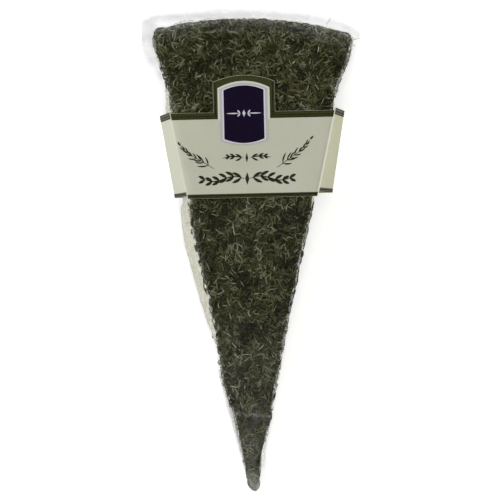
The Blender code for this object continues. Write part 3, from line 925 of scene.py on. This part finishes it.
def neighbours(faces, count):
    """Both ends of every edge of a quad mesh, and how many edges each vertex has."""
    f = np.asarray(faces)
    ends = np.vstack([f[:, [0, 1]], f[:, [1, 2]], f[:, [2, 3]], f[:, [3, 0]]])
    ends = np.unique(np.sort(ends, axis=1), axis=0)
    degree = np.bincount(ends.ravel(), minlength=count)
    return ends, degree


# The film's creases, with haze on them that is partly a painted highlight, and a milky line across the coat,
# painted as a crease's highlight: both ends (x, s) and the width.
CREASE_HEIGHT = 0.00040
CREASE_HAZE_AND_HIGHLIGHT = 0.30
COAT_HIGHLIGHT_LINE = ((-0.0046, 0.0204), (0.0040, 0.0197), 0.00032)


def tension(x, s, z, across, up):
    """How strongly the film stands up in low creases across the cut sides and the rind, from 0 to 1."""
    free = ease(0.04, 0.15, up) * (1 - ease(0.80, 0.92, up))
    if free <= 0:
        return 0.0
    run = s if abs(across) > 0.98 else x
    tilt = 0.5 * math.sin(run / 0.019 + 2 * across)
    u, v = run + tilt * z, z - tilt * run
    line = noise.noise(Vector((u / 0.016, v / 0.0042, 7 * across)))
    broken = 0.5 + 1.1 * noise.noise(Vector((u / 0.009, v / 0.009, 3 + 5 * across)))
    return free * max(0.0, 1 - 3.2 * abs(line)) ** 2 * min(max(broken, 0.15), 1.0)


def resting_height(start, normals, contents):
    """How far what lies under the film stands out at each of its points."""
    rest = np.zeros(len(start))
    for i, (p, n) in enumerate(zip(start, normals)):
        n = Vector(n)
        hit, _, _, distance = contents.ray_cast(Vector(p) + n * FILM_REACH, -n, FILM_REACH)
        if hit is not None:
            rest[i] = FILM_REACH - distance
    return np.clip(rest, 0, MOST_REST)


def drawn_tight(rest, faces):
    """The heights of a membrane that is drawn tight over rest and never dips below it."""
    ends, degree = neighbours(faces, len(rest))
    height = rest.copy()
    for _ in range(FILM_PASSES):
        total = np.zeros(len(rest))
        np.add.at(total, ends[:, 0], height[ends[:, 1]])
        np.add.at(total, ends[:, 1], height[ends[:, 0]])
        height = np.maximum(rest, total / degree)
    return height


def film_haze_and_highlights(spot, place, crease):
    """How milky the film is near the point, on the coat's line, by the cut edges and in creases; on the line
    and in the creases the milk is partly a painted highlight.
    """
    x, s, _ = spot
    across, along, up = place
    spot = Vector(spot)
    patch = 1 + 0.9 * noise.noise(spot / 0.0024) + 0.9 * noise.noise(spot / 0.0009)
    milk_and_painted_light = 0.004 * (1 - ease(0.076, 0.100, s)) + 0.020 * (1 - ease(0.030, 0.055, s))
    milk_and_painted_light += 0.055 * (1 - ease(0.008, 0.026, s)) + 0.22 * (1 - ease(0.0005, 0.0065, s))
    milk_and_painted_light += 0.15 * near_line(x, s, *COAT_HIGHLIGHT_LINE)
    milk_and_painted_light *= min(max(patch, 0.0), 2.4)
    beside = ease(0.93, 0.99, abs(across)) * ease(0.55, 0.80, up) * (1 - ease(0.93, 1.0, up))
    milk_and_painted_light += 0.22 * beside * (1 - ease(0.018, 0.042, s))
    rind = ease(0.95, 1.0, along) * ease(0.5, 0.8, up)
    return milk_and_painted_light + 0.05 * rind + CREASE_HAZE_AND_HIGHLIGHT * crease**2


def make_film(contents):
    """The film drawn tight over the cheese and its herbs: a membrane resting on what sticks out."""
    points, faces, normals, places = wedge_surface(FILM_CUTS)
    loose_by = np.array([inset(place[1]) for place in places]) - CHEESE_INSET
    start = points - normals * (loose_by + CHEESE_INSET)[:, None]
    height = drawn_tight(resting_height(start, normals, contents), faces)
    height = np.maximum(height, loose_by * 0.9)
    ripple = np.array([noise.noise(Vector(p) * 900) + noise.noise(Vector(p) * 330) for p in start])
    creases = np.array([tension(*p, across, up) for p, (across, along, up) in zip(start, places)])
    height += CREASE_HEIGHT * creases
    film = start + normals * (height + 0.00005 + 0.00003 * ripple)[:, None]
    for p in film:
        p[:] = held_by_sleeve(*p, FILM_SPARE)
    material = film_look("film", (0.0, 0.005), (0.80, 0.80, 0.75), 0.2, (0.985, 0.985, 0.97), "haze_and_painted_light", "shine")
    made = add_piece("film", to_object(film), faces, material, replaces="sealed_pack")
    set_tone(made, "haze_and_painted_light", [film_haze_and_highlights(*here) for here in zip(film, places, creases)])
    on_cut = [(1 - ease(0.90, 0.97, up)) * (1 - ease(0.90, 0.97, along)) for across, along, up in places]
    set_tone(made, "shine", [1 + 5.5 * share for share in on_cut])


def foot_outline(points):
    """The wedge's own outline at its foot, one point for each point of the flange's edge."""
    inner = []
    for x, s in points:
        held = min(max(s, 0.0012), RIND_CORNER_S - 0.0004)
        side = side_of(x)
        edge = half_width(held, side) + lean(held, side)
        if s <= RIND_CORNER_S:
            inner.append((side * min(edge, abs(x)) if s > 0 else x * 0.5, max(s, 0.0010)))
        else:
            across = max(-1.0, min(1.0, x / (RIND_HALF_CHORD + 0.0008)))
            inner.append((across * (RIND_HALF_CHORD - 0.0006), rind_s(across) - RIND_DOME - 0.0004))
    return inner


def fine_outline(steps):
    """The flange's edge with each run of it cut into steps."""
    outline = flange_outline()
    fine = []
    for (x0, s0), (x1, s1) in zip(outline, outline[1:] + outline[:1]):
        for step in range(steps):
            share = step / steps
            fine.append((mix(x0, x1, share), mix(s0, s1, share)))
    return fine


def near_line(x, s, start, end, width):
    """1 on the line from start to end, falling off to 0 beyond width from it."""
    along = Vector((end[0] - start[0], end[1] - start[1]))
    away = Vector((x - start[0], s - start[1]))
    share = min(max(away.dot(along) / along.length_squared, 0.0), 1.0)
    return math.exp(-((away - along * share).length / width) ** 2)


# Puckers in the flange, in millimetres: both ends (x, s), width, height and how much haze they add, which is
# partly painted grey shade along the wrinkles.
PUCKERS = (
    ((-30.2, 118.5), (-29.9, 124.0), 2.0, 0.5, 0.45),
    ((-28.2, 118.5), (-27.8, 124.6), 1.9, 0.3, 0.46),
    ((-30.2, 124.8), (-26.0, 127.6), 1.7, 0.8, 0.44),
    ((-26.6, 127.2), (-17.5, 127.2), 1.3, 0.6, 0.42),
    ((-26.5, 129.4), (-15.0, 130.0), 1.1, 0.2, 0.13),
    ((-18.0, 127.2), (-18.7, 130.4), 0.5, 0.9, 0.44),
    ((-18.9, 127.8), (-22.0, 129.0), 0.5, 0.5, 0.26),
    ((-14.5, 131.0), (-12.9, 129.4), 0.5, 0.5, 0.24),
    ((-17.5, 127.3), (-0.9, 127.7), 1.2, 0.4, 0.38),
    ((-12.9, 129.2), (-0.9, 129.0), 0.7, 0.3, 0.20),
    ((-0.9, 127.9), (14.8, 126.8), 1.2, 0.5, 0.32),
    ((14.8, 126.8), (24.0, 124.8), 1.0, 0.4, 0.22),
    ((19.8, 124.8), (22.1, 128.4), 0.22, 0.8, 0.62),
    ((24.4, 124.9), (28.4, 122.0), 1.4, 0.6, 0.26),
    ((-29.6, 119.0), (-27.6, 115.0), 1.8, 0.4, 0.42),
    ((-27.6, 115.0), (-24.8, 110.5), 1.5, 0.4, 0.23),
    ((28.0, 121.0), (25.0, 108.0), 1.1, 0.3, 0.05),
    ((-2.4, -1.6), (2.4, -2.0), 1.0, 0.3, 0.12),
    # The next two are grey strips by the point's left side, painted for the shade there and for the cheese's
    # side under the film.
    ((-2.1, 4.5), (-7.2, 22.2), 0.60, 0.5, 0.85),
    ((-7.4, 22.2), (-9.5, 31.0), 0.45, 0.4, 0.55),
    ((2.3, 5.0), (3.9, 18.0), 0.45, 0.3, 0.28),
)


def flange_point(x, s, share):
    """The flange's point over (x, s), share of the way out from the foot, and how milky it is there, which
    along the puckers and on the waves' crests is partly painted grey shade.
    """
    near = [near_line(x * 1000, s * 1000, *line[:3]) for line in PUCKERS]
    pucker = max(n * line[3] for n, line in zip(near, PUCKERS)) * 0.001
    pucker_milk_and_shade = max(n * line[4] for n, line in zip(near, PUCKERS))
    wave = 0.00030 * noise.noise(Vector((x * 170, s * 170, 3)))
    fine = 0.00007 * noise.noise(Vector((x * 620, s * 620, 8)))
    z = FLANGE_Z + FLANGE_THICKNESS / 2 + share * (wave + fine) + pucker * ease(0.0, 0.3, share)
    milk_and_painted_light = 0.02 + 0.03 * ease(0.112, 0.126, s) + pucker_milk_and_shade + 160 * max(wave, 0)
    patch = 1 + 0.35 * noise.noise(Vector((x, s, 0)) / 0.0030)
    return (x, s, max(z, 0.00015)), milk_and_painted_light * patch * (1 - 0.9 * ease(0.80, 1.0, share))


def make_flange():
    """Two plies of film sealed together round the wedge, with soft wrinkles and a few puckers."""
    outer = fine_outline(9)
    inner = foot_outline(outer)
    rows = 12
    made = []
    for row in range(rows + 1):
        share = row / rows
        for (x0, s0), (x1, s1) in zip(inner, outer):
            made.append(flange_point(mix(x0, x1, share), mix(s0, s1, share), share))
    points, haze_and_painted_light = zip(*made)
    faces = []
    ring = len(outer)
    for row in range(rows):
        for i in range(ring):
            j = (i + 1) % ring
            a, b = row * ring, (row + 1) * ring
            faces.append((a + i, b + i, b + j, a + j))
    tint = (0.99, 0.99, 0.99)
    # The milk's grey-lilac colour makes the hazy places painted grey shade over the white floor.
    material = film_look("flange_film", (0.0, 0.02), (0.73, 0.725, 0.755), 0.25, tint, "haze_and_painted_light", wrinkle=190)
    piece = add_piece("film_flange", to_object(points), faces, material)
    set_tone(piece, "haze_and_painted_light", haze_and_painted_light)


# Loose film along the cut edges: how far apart its rows are, the cells in each, and how far below the top it
# starts and ends.
RUFFLE_STEP = 0.00016
RUFFLE_ROWS = 8
RUFFLE_TOP, RUFFLE_FOOT = 0.0005, 0.0030


def loose(s, side):
    """How far the film stands loose of the cut edge."""
    point, below, above = (0.00105, 0.00042, 0.00095) if side < 0 else (0.00060, 0.00036, 0.00125)
    reach = mix(mix(point, below, ease(0.035, 0.055, s)), above, ease(0.098, 0.106, s))
    return reach * (0.15 + 0.85 * ease(0.004, 0.016, s)) * (1 - 0.5 * ease(0.117, 0.122, s))


def cut_edge_point(s, side, share):
    """A point just off the cut edge, share of the way down its strip of loose film."""
    z = mix(WEDGE_HEIGHT - RUFFLE_TOP, WEDGE_HEIGHT - RUFFLE_FOOT, share)
    turn = max(0.0, z - (WEDGE_HEIGHT - EDGE_RADIUS))
    round_in = EDGE_RADIUS - math.sqrt(EDGE_RADIUS**2 - turn**2)
    x = half_width(s, side) + lean(s, side) * down_the_side(z) - round_in + 0.0002
    return Vector((side * x, s, z))


def ruffle(side, start, end, first):
    """Loose film along a cut edge from start to end: its points, and its rows, numbered from first."""
    steps = int((end - start) / RUFFLE_STEP)
    points, rows = [], []
    for step in range(steps + 1):
        where = step * RUFFLE_STEP
        s = mix(start, end, step / steps)
        reach = loose(s, side)
        wide = reach * (0.35 + 1.1 * abs(noise.noise(Vector((where / 0.0013, reach * 900, 1)))))
        rows.append(range(first + len(points), first + len(points) + RUFFLE_ROWS + 1))
        for row in range(RUFFLE_ROWS + 1):
            share = row / RUFFLE_ROWS
            curl = noise.noise(Vector((where / 0.0007, share * 2.5, 6))) * 0.3 * reach
            puff = (wide + curl) * math.sin(math.pi * share) ** 0.8
            points.append(cut_edge_point(s, side, share) + Vector((side * max(puff, 0.0), 0, 0)))
    return points, rows


def make_folds():
    """Loose crumpled film along the top's cut edges, which catches the light."""
    points, faces = [], []
    for side in (-1, 1):
        for start, end in ((0.0060, SLEEVE_LOW_S - 0.0006), (SLEEVE_TOP_S + 0.0012, RIND_CORNER_S - 0.0012)):
            strip, rows = ruffle(side, start, end, len(points))
            points += strip
            faces += grid_faces(rows)
    # The folds' milky white is partly a painted highlight.
    material = film_look("fold_film", (0.03, 0.40), (0.92, 0.92, 0.86), 0.2, (0.985, 0.985, 0.97))
    add_piece("film_folds", to_object(points), faces, material)


# The sleeve

def sleeve_place(x, s, z):
    """A point (x, s, z) of the upright sleeve, tilted as the sleeve lies, with its sides' shift."""
    out, rise = side_shift(x, s, z)
    return Vector((x + out - SLEEVE_TILT * (s - SLEEVE_MIDDLE_S), s + rise + SLEEVE_TILT * x, z))


def edge_run(part, s, off):
    """Points along one part of the sleeve's outside at s, from left to right as the part lies."""
    creases, feet = section_frame(sleeve_along(s))
    side = -1 if part.startswith("left") else 1
    index = 0 if side < 0 else 1
    radius = SLEEVE_RADII[index]
    turn_x = creases[index] - side * radius
    run = []
    if part.endswith("front"):
        inner = FRAME_X + side * FRAME_HALF
        for step in range(FRONT_STEPS):
            run.append((mix(inner, turn_x, step / FRONT_STEPS), SLEEVE_TOP_Z + off))
        for step in range(CORNER_STEPS + 1):
            angle = math.pi / 2 * step / CORNER_STEPS
            if angle <= CREASE_ANGLES[index] + 1e-6:
                reach = radius + off
                z = SLEEVE_TOP_Z - radius + reach * math.cos(angle)
                run.append((turn_x + side * reach * math.sin(angle), z))
    else:
        high, low = SLEEVE_TOP_Z - radius - SLEEVE_NOTCH - 0.0001, SLEEVE_FOOT_RADIUS
        for step in range(SIDE_STEPS + 1):
            z = mix(high, low, step / SIDE_STEPS)
            share = (SLEEVE_TOP_Z - radius - z) / (SLEEVE_TOP_Z - radius - low)
            run.append((mix(creases[index], feet[index], share) + side * off, z))
    return [sleeve_place(x, s, z) for x, z in run]


def outer_section(along):
    """Points (x, z) round the outside at along, clockwise from the tab's left edge."""
    creases, feet = section_frame(along)
    top = SLEEVE_TOP_Z
    heel = SLEEVE_FOOT_RADIUS
    left, right = SLEEVE_RADII
    loop = []

    def line(start, end, steps, first=1):
        for step in range(first, steps):
            loop.append(tuple(mix(a, b, step / steps) for a, b in zip(start, end)))

    def corner(x, z, radius, start, steps):
        for step in range(steps + 1):
            angle = math.radians(start - 90 * step / steps)
            loop.append((x + radius * math.cos(angle), z + radius * math.sin(angle)))

    left_turn, right_turn = creases[0] + left, creases[1] - right
    left_notch = (creases[0], top - left - SLEEVE_NOTCH)
    right_notch = (creases[1], top - right - SLEEVE_NOTCH)
    tab_left, tab_right = TAB_X - TAB_HALF, TAB_X + TAB_HALF
    line((tab_left, top), (tab_right, top), TAB_STEPS, 0)
    line((tab_right, top), (right_turn, top), GAP_STEPS, 0)
    corner(right_turn, top - right, right, 90, CORNER_STEPS)
    line((creases[1], top - right), right_notch, 3)
    line(right_notch, (feet[1], heel), WALL_STEPS, 0)
    corner(feet[1] - heel, heel, heel, 0, HEEL_STEPS)
    line((feet[1] - heel, 0.0), (feet[0] + heel, 0.0), BACK_STEPS)
    corner(feet[0] + heel, heel, heel, 270, HEEL_STEPS)
    line((feet[0], heel), left_notch, WALL_STEPS)
    line(left_notch, (creases[0], top - left), 3, 0)
    corner(left_turn, top - left, left, 180, CORNER_STEPS)
    line((left_turn, top), (tab_left, top), GAP_STEPS)
    return loop


def painted_crease_highlight(x, z, creases):
    """How strongly a pale highlight is painted on the card: along the right crease, and less so along the
    left one.
    """
    down = SLEEVE_TOP_Z - z
    if x > creases[1] - 0.002:
        return ease(0.00012, 0.00060, down) * (1 - ease(0.0014, 0.0021, down))
    if x > creases[0] + 0.003:
        return 0.0
    return 0.35 * ease(0.0016, 0.0024, down) * (1 - ease(0.0030, 0.0060, down))


def make_sleeve():
    """The card band with its arched tab, as an open sheet made thick."""
    points, rows, shade, crease_highlight = [], [], [], []
    for row in range(BAND_ROWS + 1):
        along = row / BAND_ROWS
        s = mix(SLEEVE_LOW_S, SLEEVE_TOP_S, along)
        section = outer_section(along)
        rows.append(range(len(points), len(points) + len(section)))
        points += [sleeve_place(x, s, z) for x, z in section]
        # Where the yellower painted shade lies: the card's right side, below its top.
        shade += [ease(0.0, 0.010, x) * (1 - ease(0.0385, 0.0415, z)) for x, z in section]
        # How strongly the painted highlight lies along the creases.
        crease_highlight += [painted_crease_highlight(x, z, section_frame(along)[0]) for x, z in section]
    tab_rows = [rows[-1][: TAB_STEPS + 1]]
    for row in range(1, TAB_ROWS + 1):
        tab_rows.append(range(len(points), len(points) + TAB_STEPS + 1))
        for step in range(TAB_STEPS + 1):
            u = 2 * step / TAB_STEPS - 1
            end = TAB_CORNER_S + TAB_ARCH * (1 - u * u)
            s = mix(SLEEVE_TOP_S, end, row / TAB_ROWS)
            points.append(sleeve_place(TAB_X + u * TAB_HALF, s, SLEEVE_TOP_Z))
    faces = grid_faces(rows, closed=True) + grid_faces(tab_rows)
    card = card_look()
    made = add_piece("sleeve", to_object(points), faces, card, replaces="card_sleeve")
    on_tab = [0.0] * (len(points) - len(shade))
    set_tone(made, "shade", shade + on_tab)
    set_tone(made, "crease_highlight", crease_highlight + on_tab)
    thick = made.modifiers.new("card", "SOLIDIFY")
    thick.thickness = CARD
    thick.offset = -1
    thick.use_even_offset = True


class Print:
    """Flat shapes of one ink, laid on the sleeve just off its surface."""

    def __init__(self, name):
        self.name = name
        ink, self.off, *shades_and_finish = PRINTS[name]
        self.material = ink_look(ink, *shades_and_finish)
        self.points, self.faces = [], []

    def strip(self, pairs, flip=False):
        """Quads between pairs of points."""
        first = len(self.points)
        for pair in pairs:
            self.points += pair
        for k in range(first, len(self.points) - 2, 2):
            ring = (k, k + 2, k + 3, k + 1)
            self.faces.append(ring[::-1] if flip else ring)

    def front_strip(self, pairs):
        """A strip on the front between pairs of points (x, s)."""
        z = SLEEVE_TOP_Z + self.off
        self.strip([[sleeve_place(x, s, z) for x, s in pair] for pair in pairs])

    def band(self, part, s0, s1):
        """A stripe along one part of the sleeve, from s0 to s1."""
        lines = [edge_run(part, mix(s0, s1, row / 2), self.off) for row in range(3)]
        for low, high in zip(lines, lines[1:]):
            self.strip(zip(low, high), part in ("left_front", "right_side"))

    def panel(self, left, right, low, high, steps=24, rows=6):
        """A filled panel between two sides, whose low and high edges are functions of u from -1 to 1."""
        for row in range(rows):
            pairs = []
            for i in range(steps + 1):
                u = 2 * i / steps - 1
                x = mix(left, right, i / steps)
                a, b = low(u), high(u)
                pairs.append(((x, mix(a, b, row / rows)), (x, mix(a, b, (row + 1) / rows))))
            self.front_strip(pairs)

    def stroke(self, path, widths):
        """A line of changing width through path."""
        pairs = []
        for i, (x, s) in enumerate(path):
            before, after = path[max(i - 1, 0)], path[min(i + 1, len(path) - 1)]
            dx, ds = after[0] - before[0], after[1] - before[1]
            size = math.hypot(dx, ds) or 1.0
            nx, ns = -ds / size * widths[i] / 2, dx / size * widths[i] / 2
            pairs.append(((x - nx, s - ns), (x + nx, s + ns)))
        self.front_strip(pairs)

    def swelled(self, path, thin, swell):
        """A line through path, thin at its ends and swelled between them."""
        last = len(path) - 1
        self.stroke(path, [thin + swell * math.sin(math.pi * i / last) for i in range(last + 1)])

    def lozenge(self, x, s, reach, thin, wide):
        """A small upright lozenge round (x, s)."""
        self.stroke([(x, s - reach), (x, s), (x, s + reach)], [thin, wide, thin])

    def leaf(self, x, s, angle, length, width, curl=0.0, steps=8):
        """A narrow leaf from (x, s), curling by curl radians along its length."""
        path, widths = [(x, s)], [width * 0.15]
        for step in range(1, steps + 1):
            share = step / steps
            turn = angle + curl * share
            px, ps = path[-1]
            path.append((px + math.cos(turn) * length / steps, ps + math.sin(turn) * length / steps))
            widths.append(width * (0.15 + math.sin(math.pi * share) ** 0.8) if share < 1 else width * 0.08)
        self.stroke(path, widths)

    def leaf_pair(self, x, s, way, spread, length, width, curl=0.0):
        """Two leaves from (x, s), to either side of way."""
        for turn in (-1, 1):
            self.leaf(x, s, way + turn * spread, length, width, -curl * turn)

    def done(self):
        add_piece(self.name, to_object(self.points), self.faces, self.material)


def arch(corner, rise):
    """An edge that rises from corner at u = -1 and 1 by rise at u = 0."""
    return lambda u: corner + rise * (1 - u * u)


def level(s):
    return lambda u: s


def make_borders():
    """The olive borders along the sleeve's two edges and on its tab, with dark lines on them."""
    olive, line = Print("print_olive"), Print("print_lines")
    top, low = SLEEVE_TOP_S - PRINT_EDGE, SLEEVE_LOW_S + PRINT_EDGE
    for part in ("left_side", "left_front", "right_front", "right_side"):
        olive.band(part, top - TOP_BORDER, top)
        olive.band(part, low, low + LOW_BORDER)
        for a, b in TOP_LINES:
            line.band(part, top - b, top - a)
        for a, b in LOW_LINES:
            line.band(part, low + a, low + b)
    middle = (FRAME_X - FRAME_HALF, FRAME_X + FRAME_HALF)
    olive.panel(*middle, level(low), level(low + LOW_BORDER))
    for a, b in LOW_LINES:
        line.panel(*middle, level(low + a), level(low + b), 16)
    left, right = TAB_X - TAB_HALF, TAB_X + TAB_HALF
    olive.panel(left + PRINT_EDGE, right - PRINT_EDGE, level(top), arch(TAB_CORNER_S - 0.00008, TAB_ARCH))
    near, far = TAB_LINE
    for line_left, line_right in ((left + near, left + far), (right - far, right - near)):
        line.panel(line_left, line_right, level(top - 0.0008), level(TAB_CORNER_S - 0.0004), 2)
    olive.done()
    line.done()


def make_badge():
    """The pale frame and the dark badge in it, with a small rule on the badge."""
    cream = Print("print_frame_cream")
    frame_top = arch(FRAME_TOP, FRAME_TOP_ARCH)
    cream.panel(FRAME_X - FRAME_HALF, FRAME_X + FRAME_HALF, level(FRAME_LOW), frame_top)
    cream.done()
    for name, beside, below, below_arch, above, above_arch in BADGE_PANELS:
        low = arch(BADGE_LOW - below, -BADGE_LOW_ARCH - below_arch)
        top = arch(BADGE_TOP + above, BADGE_TOP_ARCH + above_arch)
        rim = Print(name)
        rim.panel(FRAME_X - BADGE_HALF - beside, FRAME_X + BADGE_HALF + beside, low, top)
        rim.done()
    pale = Print("print_badge_rule")
    for side in (-1, 1):
        way = 0 if side > 0 else math.pi
        path = [(FRAME_X + side * mix(0.0012, 0.0046, i / 10), BADGE_RULE_S) for i in range(11)]
        pale.swelled(path, 0.00006, 0.00030)
        pale.leaf_pair(FRAME_X + side * 0.0010, BADGE_RULE_S, way, -side * 0.9, 0.0011, 0.00040)
    pale.lozenge(FRAME_X, BADGE_RULE_S, 0.0009, 0.00004, 0.0009)
    pale.done()


def add_sprig(ink, foot, tip, steps=24, pairs=8):
    """A sprig: an arched stem with pairs of narrow leaves, longer towards its foot."""
    stem = []
    for i in range(steps + 1):
        share = i / steps
        x = mix(foot[0], tip[0], share)
        s = mix(foot[1], tip[1], share ** 1.3) + 0.0003 * math.sin(2 * math.pi * share)
        stem.append((x, s))
    swell = [math.sin(math.pi * min(1, i / steps * 1.2)) for i in range(steps + 1)]
    ink.stroke(stem, [0.00009 + 0.00007 * share for share in swell])
    for pair in range(pairs):
        near_tip = pair / (pairs - 1)
        k = min(int((0.18 + 0.80 * pair / (pairs - 1)) * steps), steps - 1)
        (x, s), (x1, s1) = stem[k], stem[k + 1]
        way = math.atan2(s1 - s, x1 - x)
        for turn in (-1, 1):
            angle = way + mix(0.85, 0.45, near_tip) * turn + 0.14 * math.sin(pair * 2.3 + turn)
            length = mix(0.0027, 0.0012, near_tip) * (1 + 0.12 * math.sin(pair * 4.1 + 2 * turn))
            ink.leaf(x, s, angle, length, mix(0.00034, 0.00026, near_tip), -0.6 * turn)


def add_garland(ink, s, ends, steps, wave, weights, leaves, leaf, lozenge):
    """A lozenge at s and a swelled line on either side of it, with pairs of leaves at numbered steps.

    ends is how far out each line starts and ends, wave its rise and half turns, weights its thin ends and its
    swell, and leaf a leaf's spread, width and curl.
    """
    spread, width, curl = leaf
    for side in (-1, 1):
        path = []
        for i in range(steps + 1):
            x = RULE_X + side * mix(*ends, i / steps)
            path.append((x, s + wave[0] * math.sin(wave[1] * math.pi * (i / steps))))
        ink.swelled(path, *weights)
        for k, length in leaves:
            ink.leaf_pair(*path[k], 0 if side > 0 else math.pi, side * spread, length, width, side * curl)
    ink.lozenge(RULE_X, s, *lozenge)


def make_ornament():
    """Two sprigs, a short rule under the badge and a longer garland below it."""
    ink = Print("print_ornament")
    for foot, tip in SPRIGS:
        add_sprig(ink, foot, tip)
    add_garland(
        ink, s=0.08815, ends=(0.0009, 0.0064), steps=12, wave=(0.0004, 1), weights=(0.00008, 0.00026),
        leaves=((1, 0.0019), (5, 0.0015), (8, 0.0012)),
        leaf=(0.75, 0.00042, 0.5), lozenge=(0.0012, 0.00005, 0.0007),
    )
    add_garland(
        ink, s=0.08265, ends=(0.0008, 0.0124), steps=30, wave=(0.0006, 2.2), weights=(0.00012, 0.00020),
        leaves=[(2 + 5 * pair, mix(0.0028, 0.0019, pair / 5)) for pair in range(6)],
        leaf=(0.80, 0.00068, 0.55), lozenge=(0.0016, 0.00006, 0.0011),
    )
    ink.done()


# Stage, lights and camera

def add_object(name, data):
    made = bpy.data.objects.new(name, data)
    bpy.context.scene.collection.objects.link(made)
    return made


def make_floor():
    look = Look("floor")
    look.set(Base_Color=look.ramp(look.noise(6, 3), (0.3, 0.86), (0.7, 0.88)), Roughness=0.8)
    look.set(Emission_Color=WHITE, Emission_Strength=0.60, Specular_IOR_Level=0.1)
    mesh = bpy.data.meshes.new("floor")
    corners = [(x * FLOOR_HALF, y * FLOOR_HALF, 0) for x, y in ((-1, -1), (1, -1), (1, 1), (-1, 1))]
    mesh.from_pydata(corners, [], [(0, 1, 2, 3)])
    mesh.materials.append(look.mat)
    floor = add_object("floor", mesh)
    floor.location.z = -FLOOR_DROP


def make_lights():
    world = bpy.data.worlds.new("studio")
    bpy.context.scene.world = world
    world.use_nodes = True
    background = world.node_tree.nodes["Background"].inputs
    background["Color"].default_value = WHITE
    background["Strength"].default_value = WORLD_STRENGTH
    for name, place, size, power in LIGHTS:
        light = bpy.data.lights.new(name, "AREA")
        light.shape = "RECTANGLE"
        light.size, light.size_y = size
        light.energy = power
        made = add_object(name, light)
        made.location = place
        made.rotation_euler = (Vector(LIGHT_TARGET) - Vector(place)).to_track_quat("-Z", "Y").to_euler()


def make_camera():
    lens = bpy.data.cameras.new("camera")
    lens.sensor_width = SENSOR
    lens.lens = SENSOR * CAMERA_ABOVE / (PIXEL * FRAME_PIXELS)
    lens.clip_start, lens.clip_end = 0.05, 20
    middle_s = (POINT_ROW - FRAME_PIXELS / 2) * PIXEL
    axis = POINT_COLUMN - LEAN_PIXELS * middle_s / LEAN_LENGTH
    x = (FRAME_PIXELS / 2 - axis) * PIXEL
    camera = add_object("camera", lens)
    camera.location = put(x, middle_s, WEDGE_HEIGHT + CAMERA_ABOVE)
    camera.rotation_euler = (0, 0, -LEAN_PIXELS * PIXEL / LEAN_LENGTH)
    bpy.context.scene.camera = camera


def main():
    draw = random.Random(SEED)
    pieces = [make_cheese()]
    tree = tree_of(pieces)
    for name, (look_name, shades) in HERB_LOOKS.items():
        pieces.append(make_herbs(name, tree, draw, herb_look(look_name, shades)))
    make_crumbs(tree, draw, herb_look("herb_crumb", DARK_HERB))
    make_film(tree_of(pieces))
    make_flange()
    make_folds()
    make_sleeve()
    make_borders()
    make_badge()
    make_ornament()
    make_floor()
    make_lights()
    make_camera()
    bpy.context.scene.view_settings.view_transform = "Standard"


main()
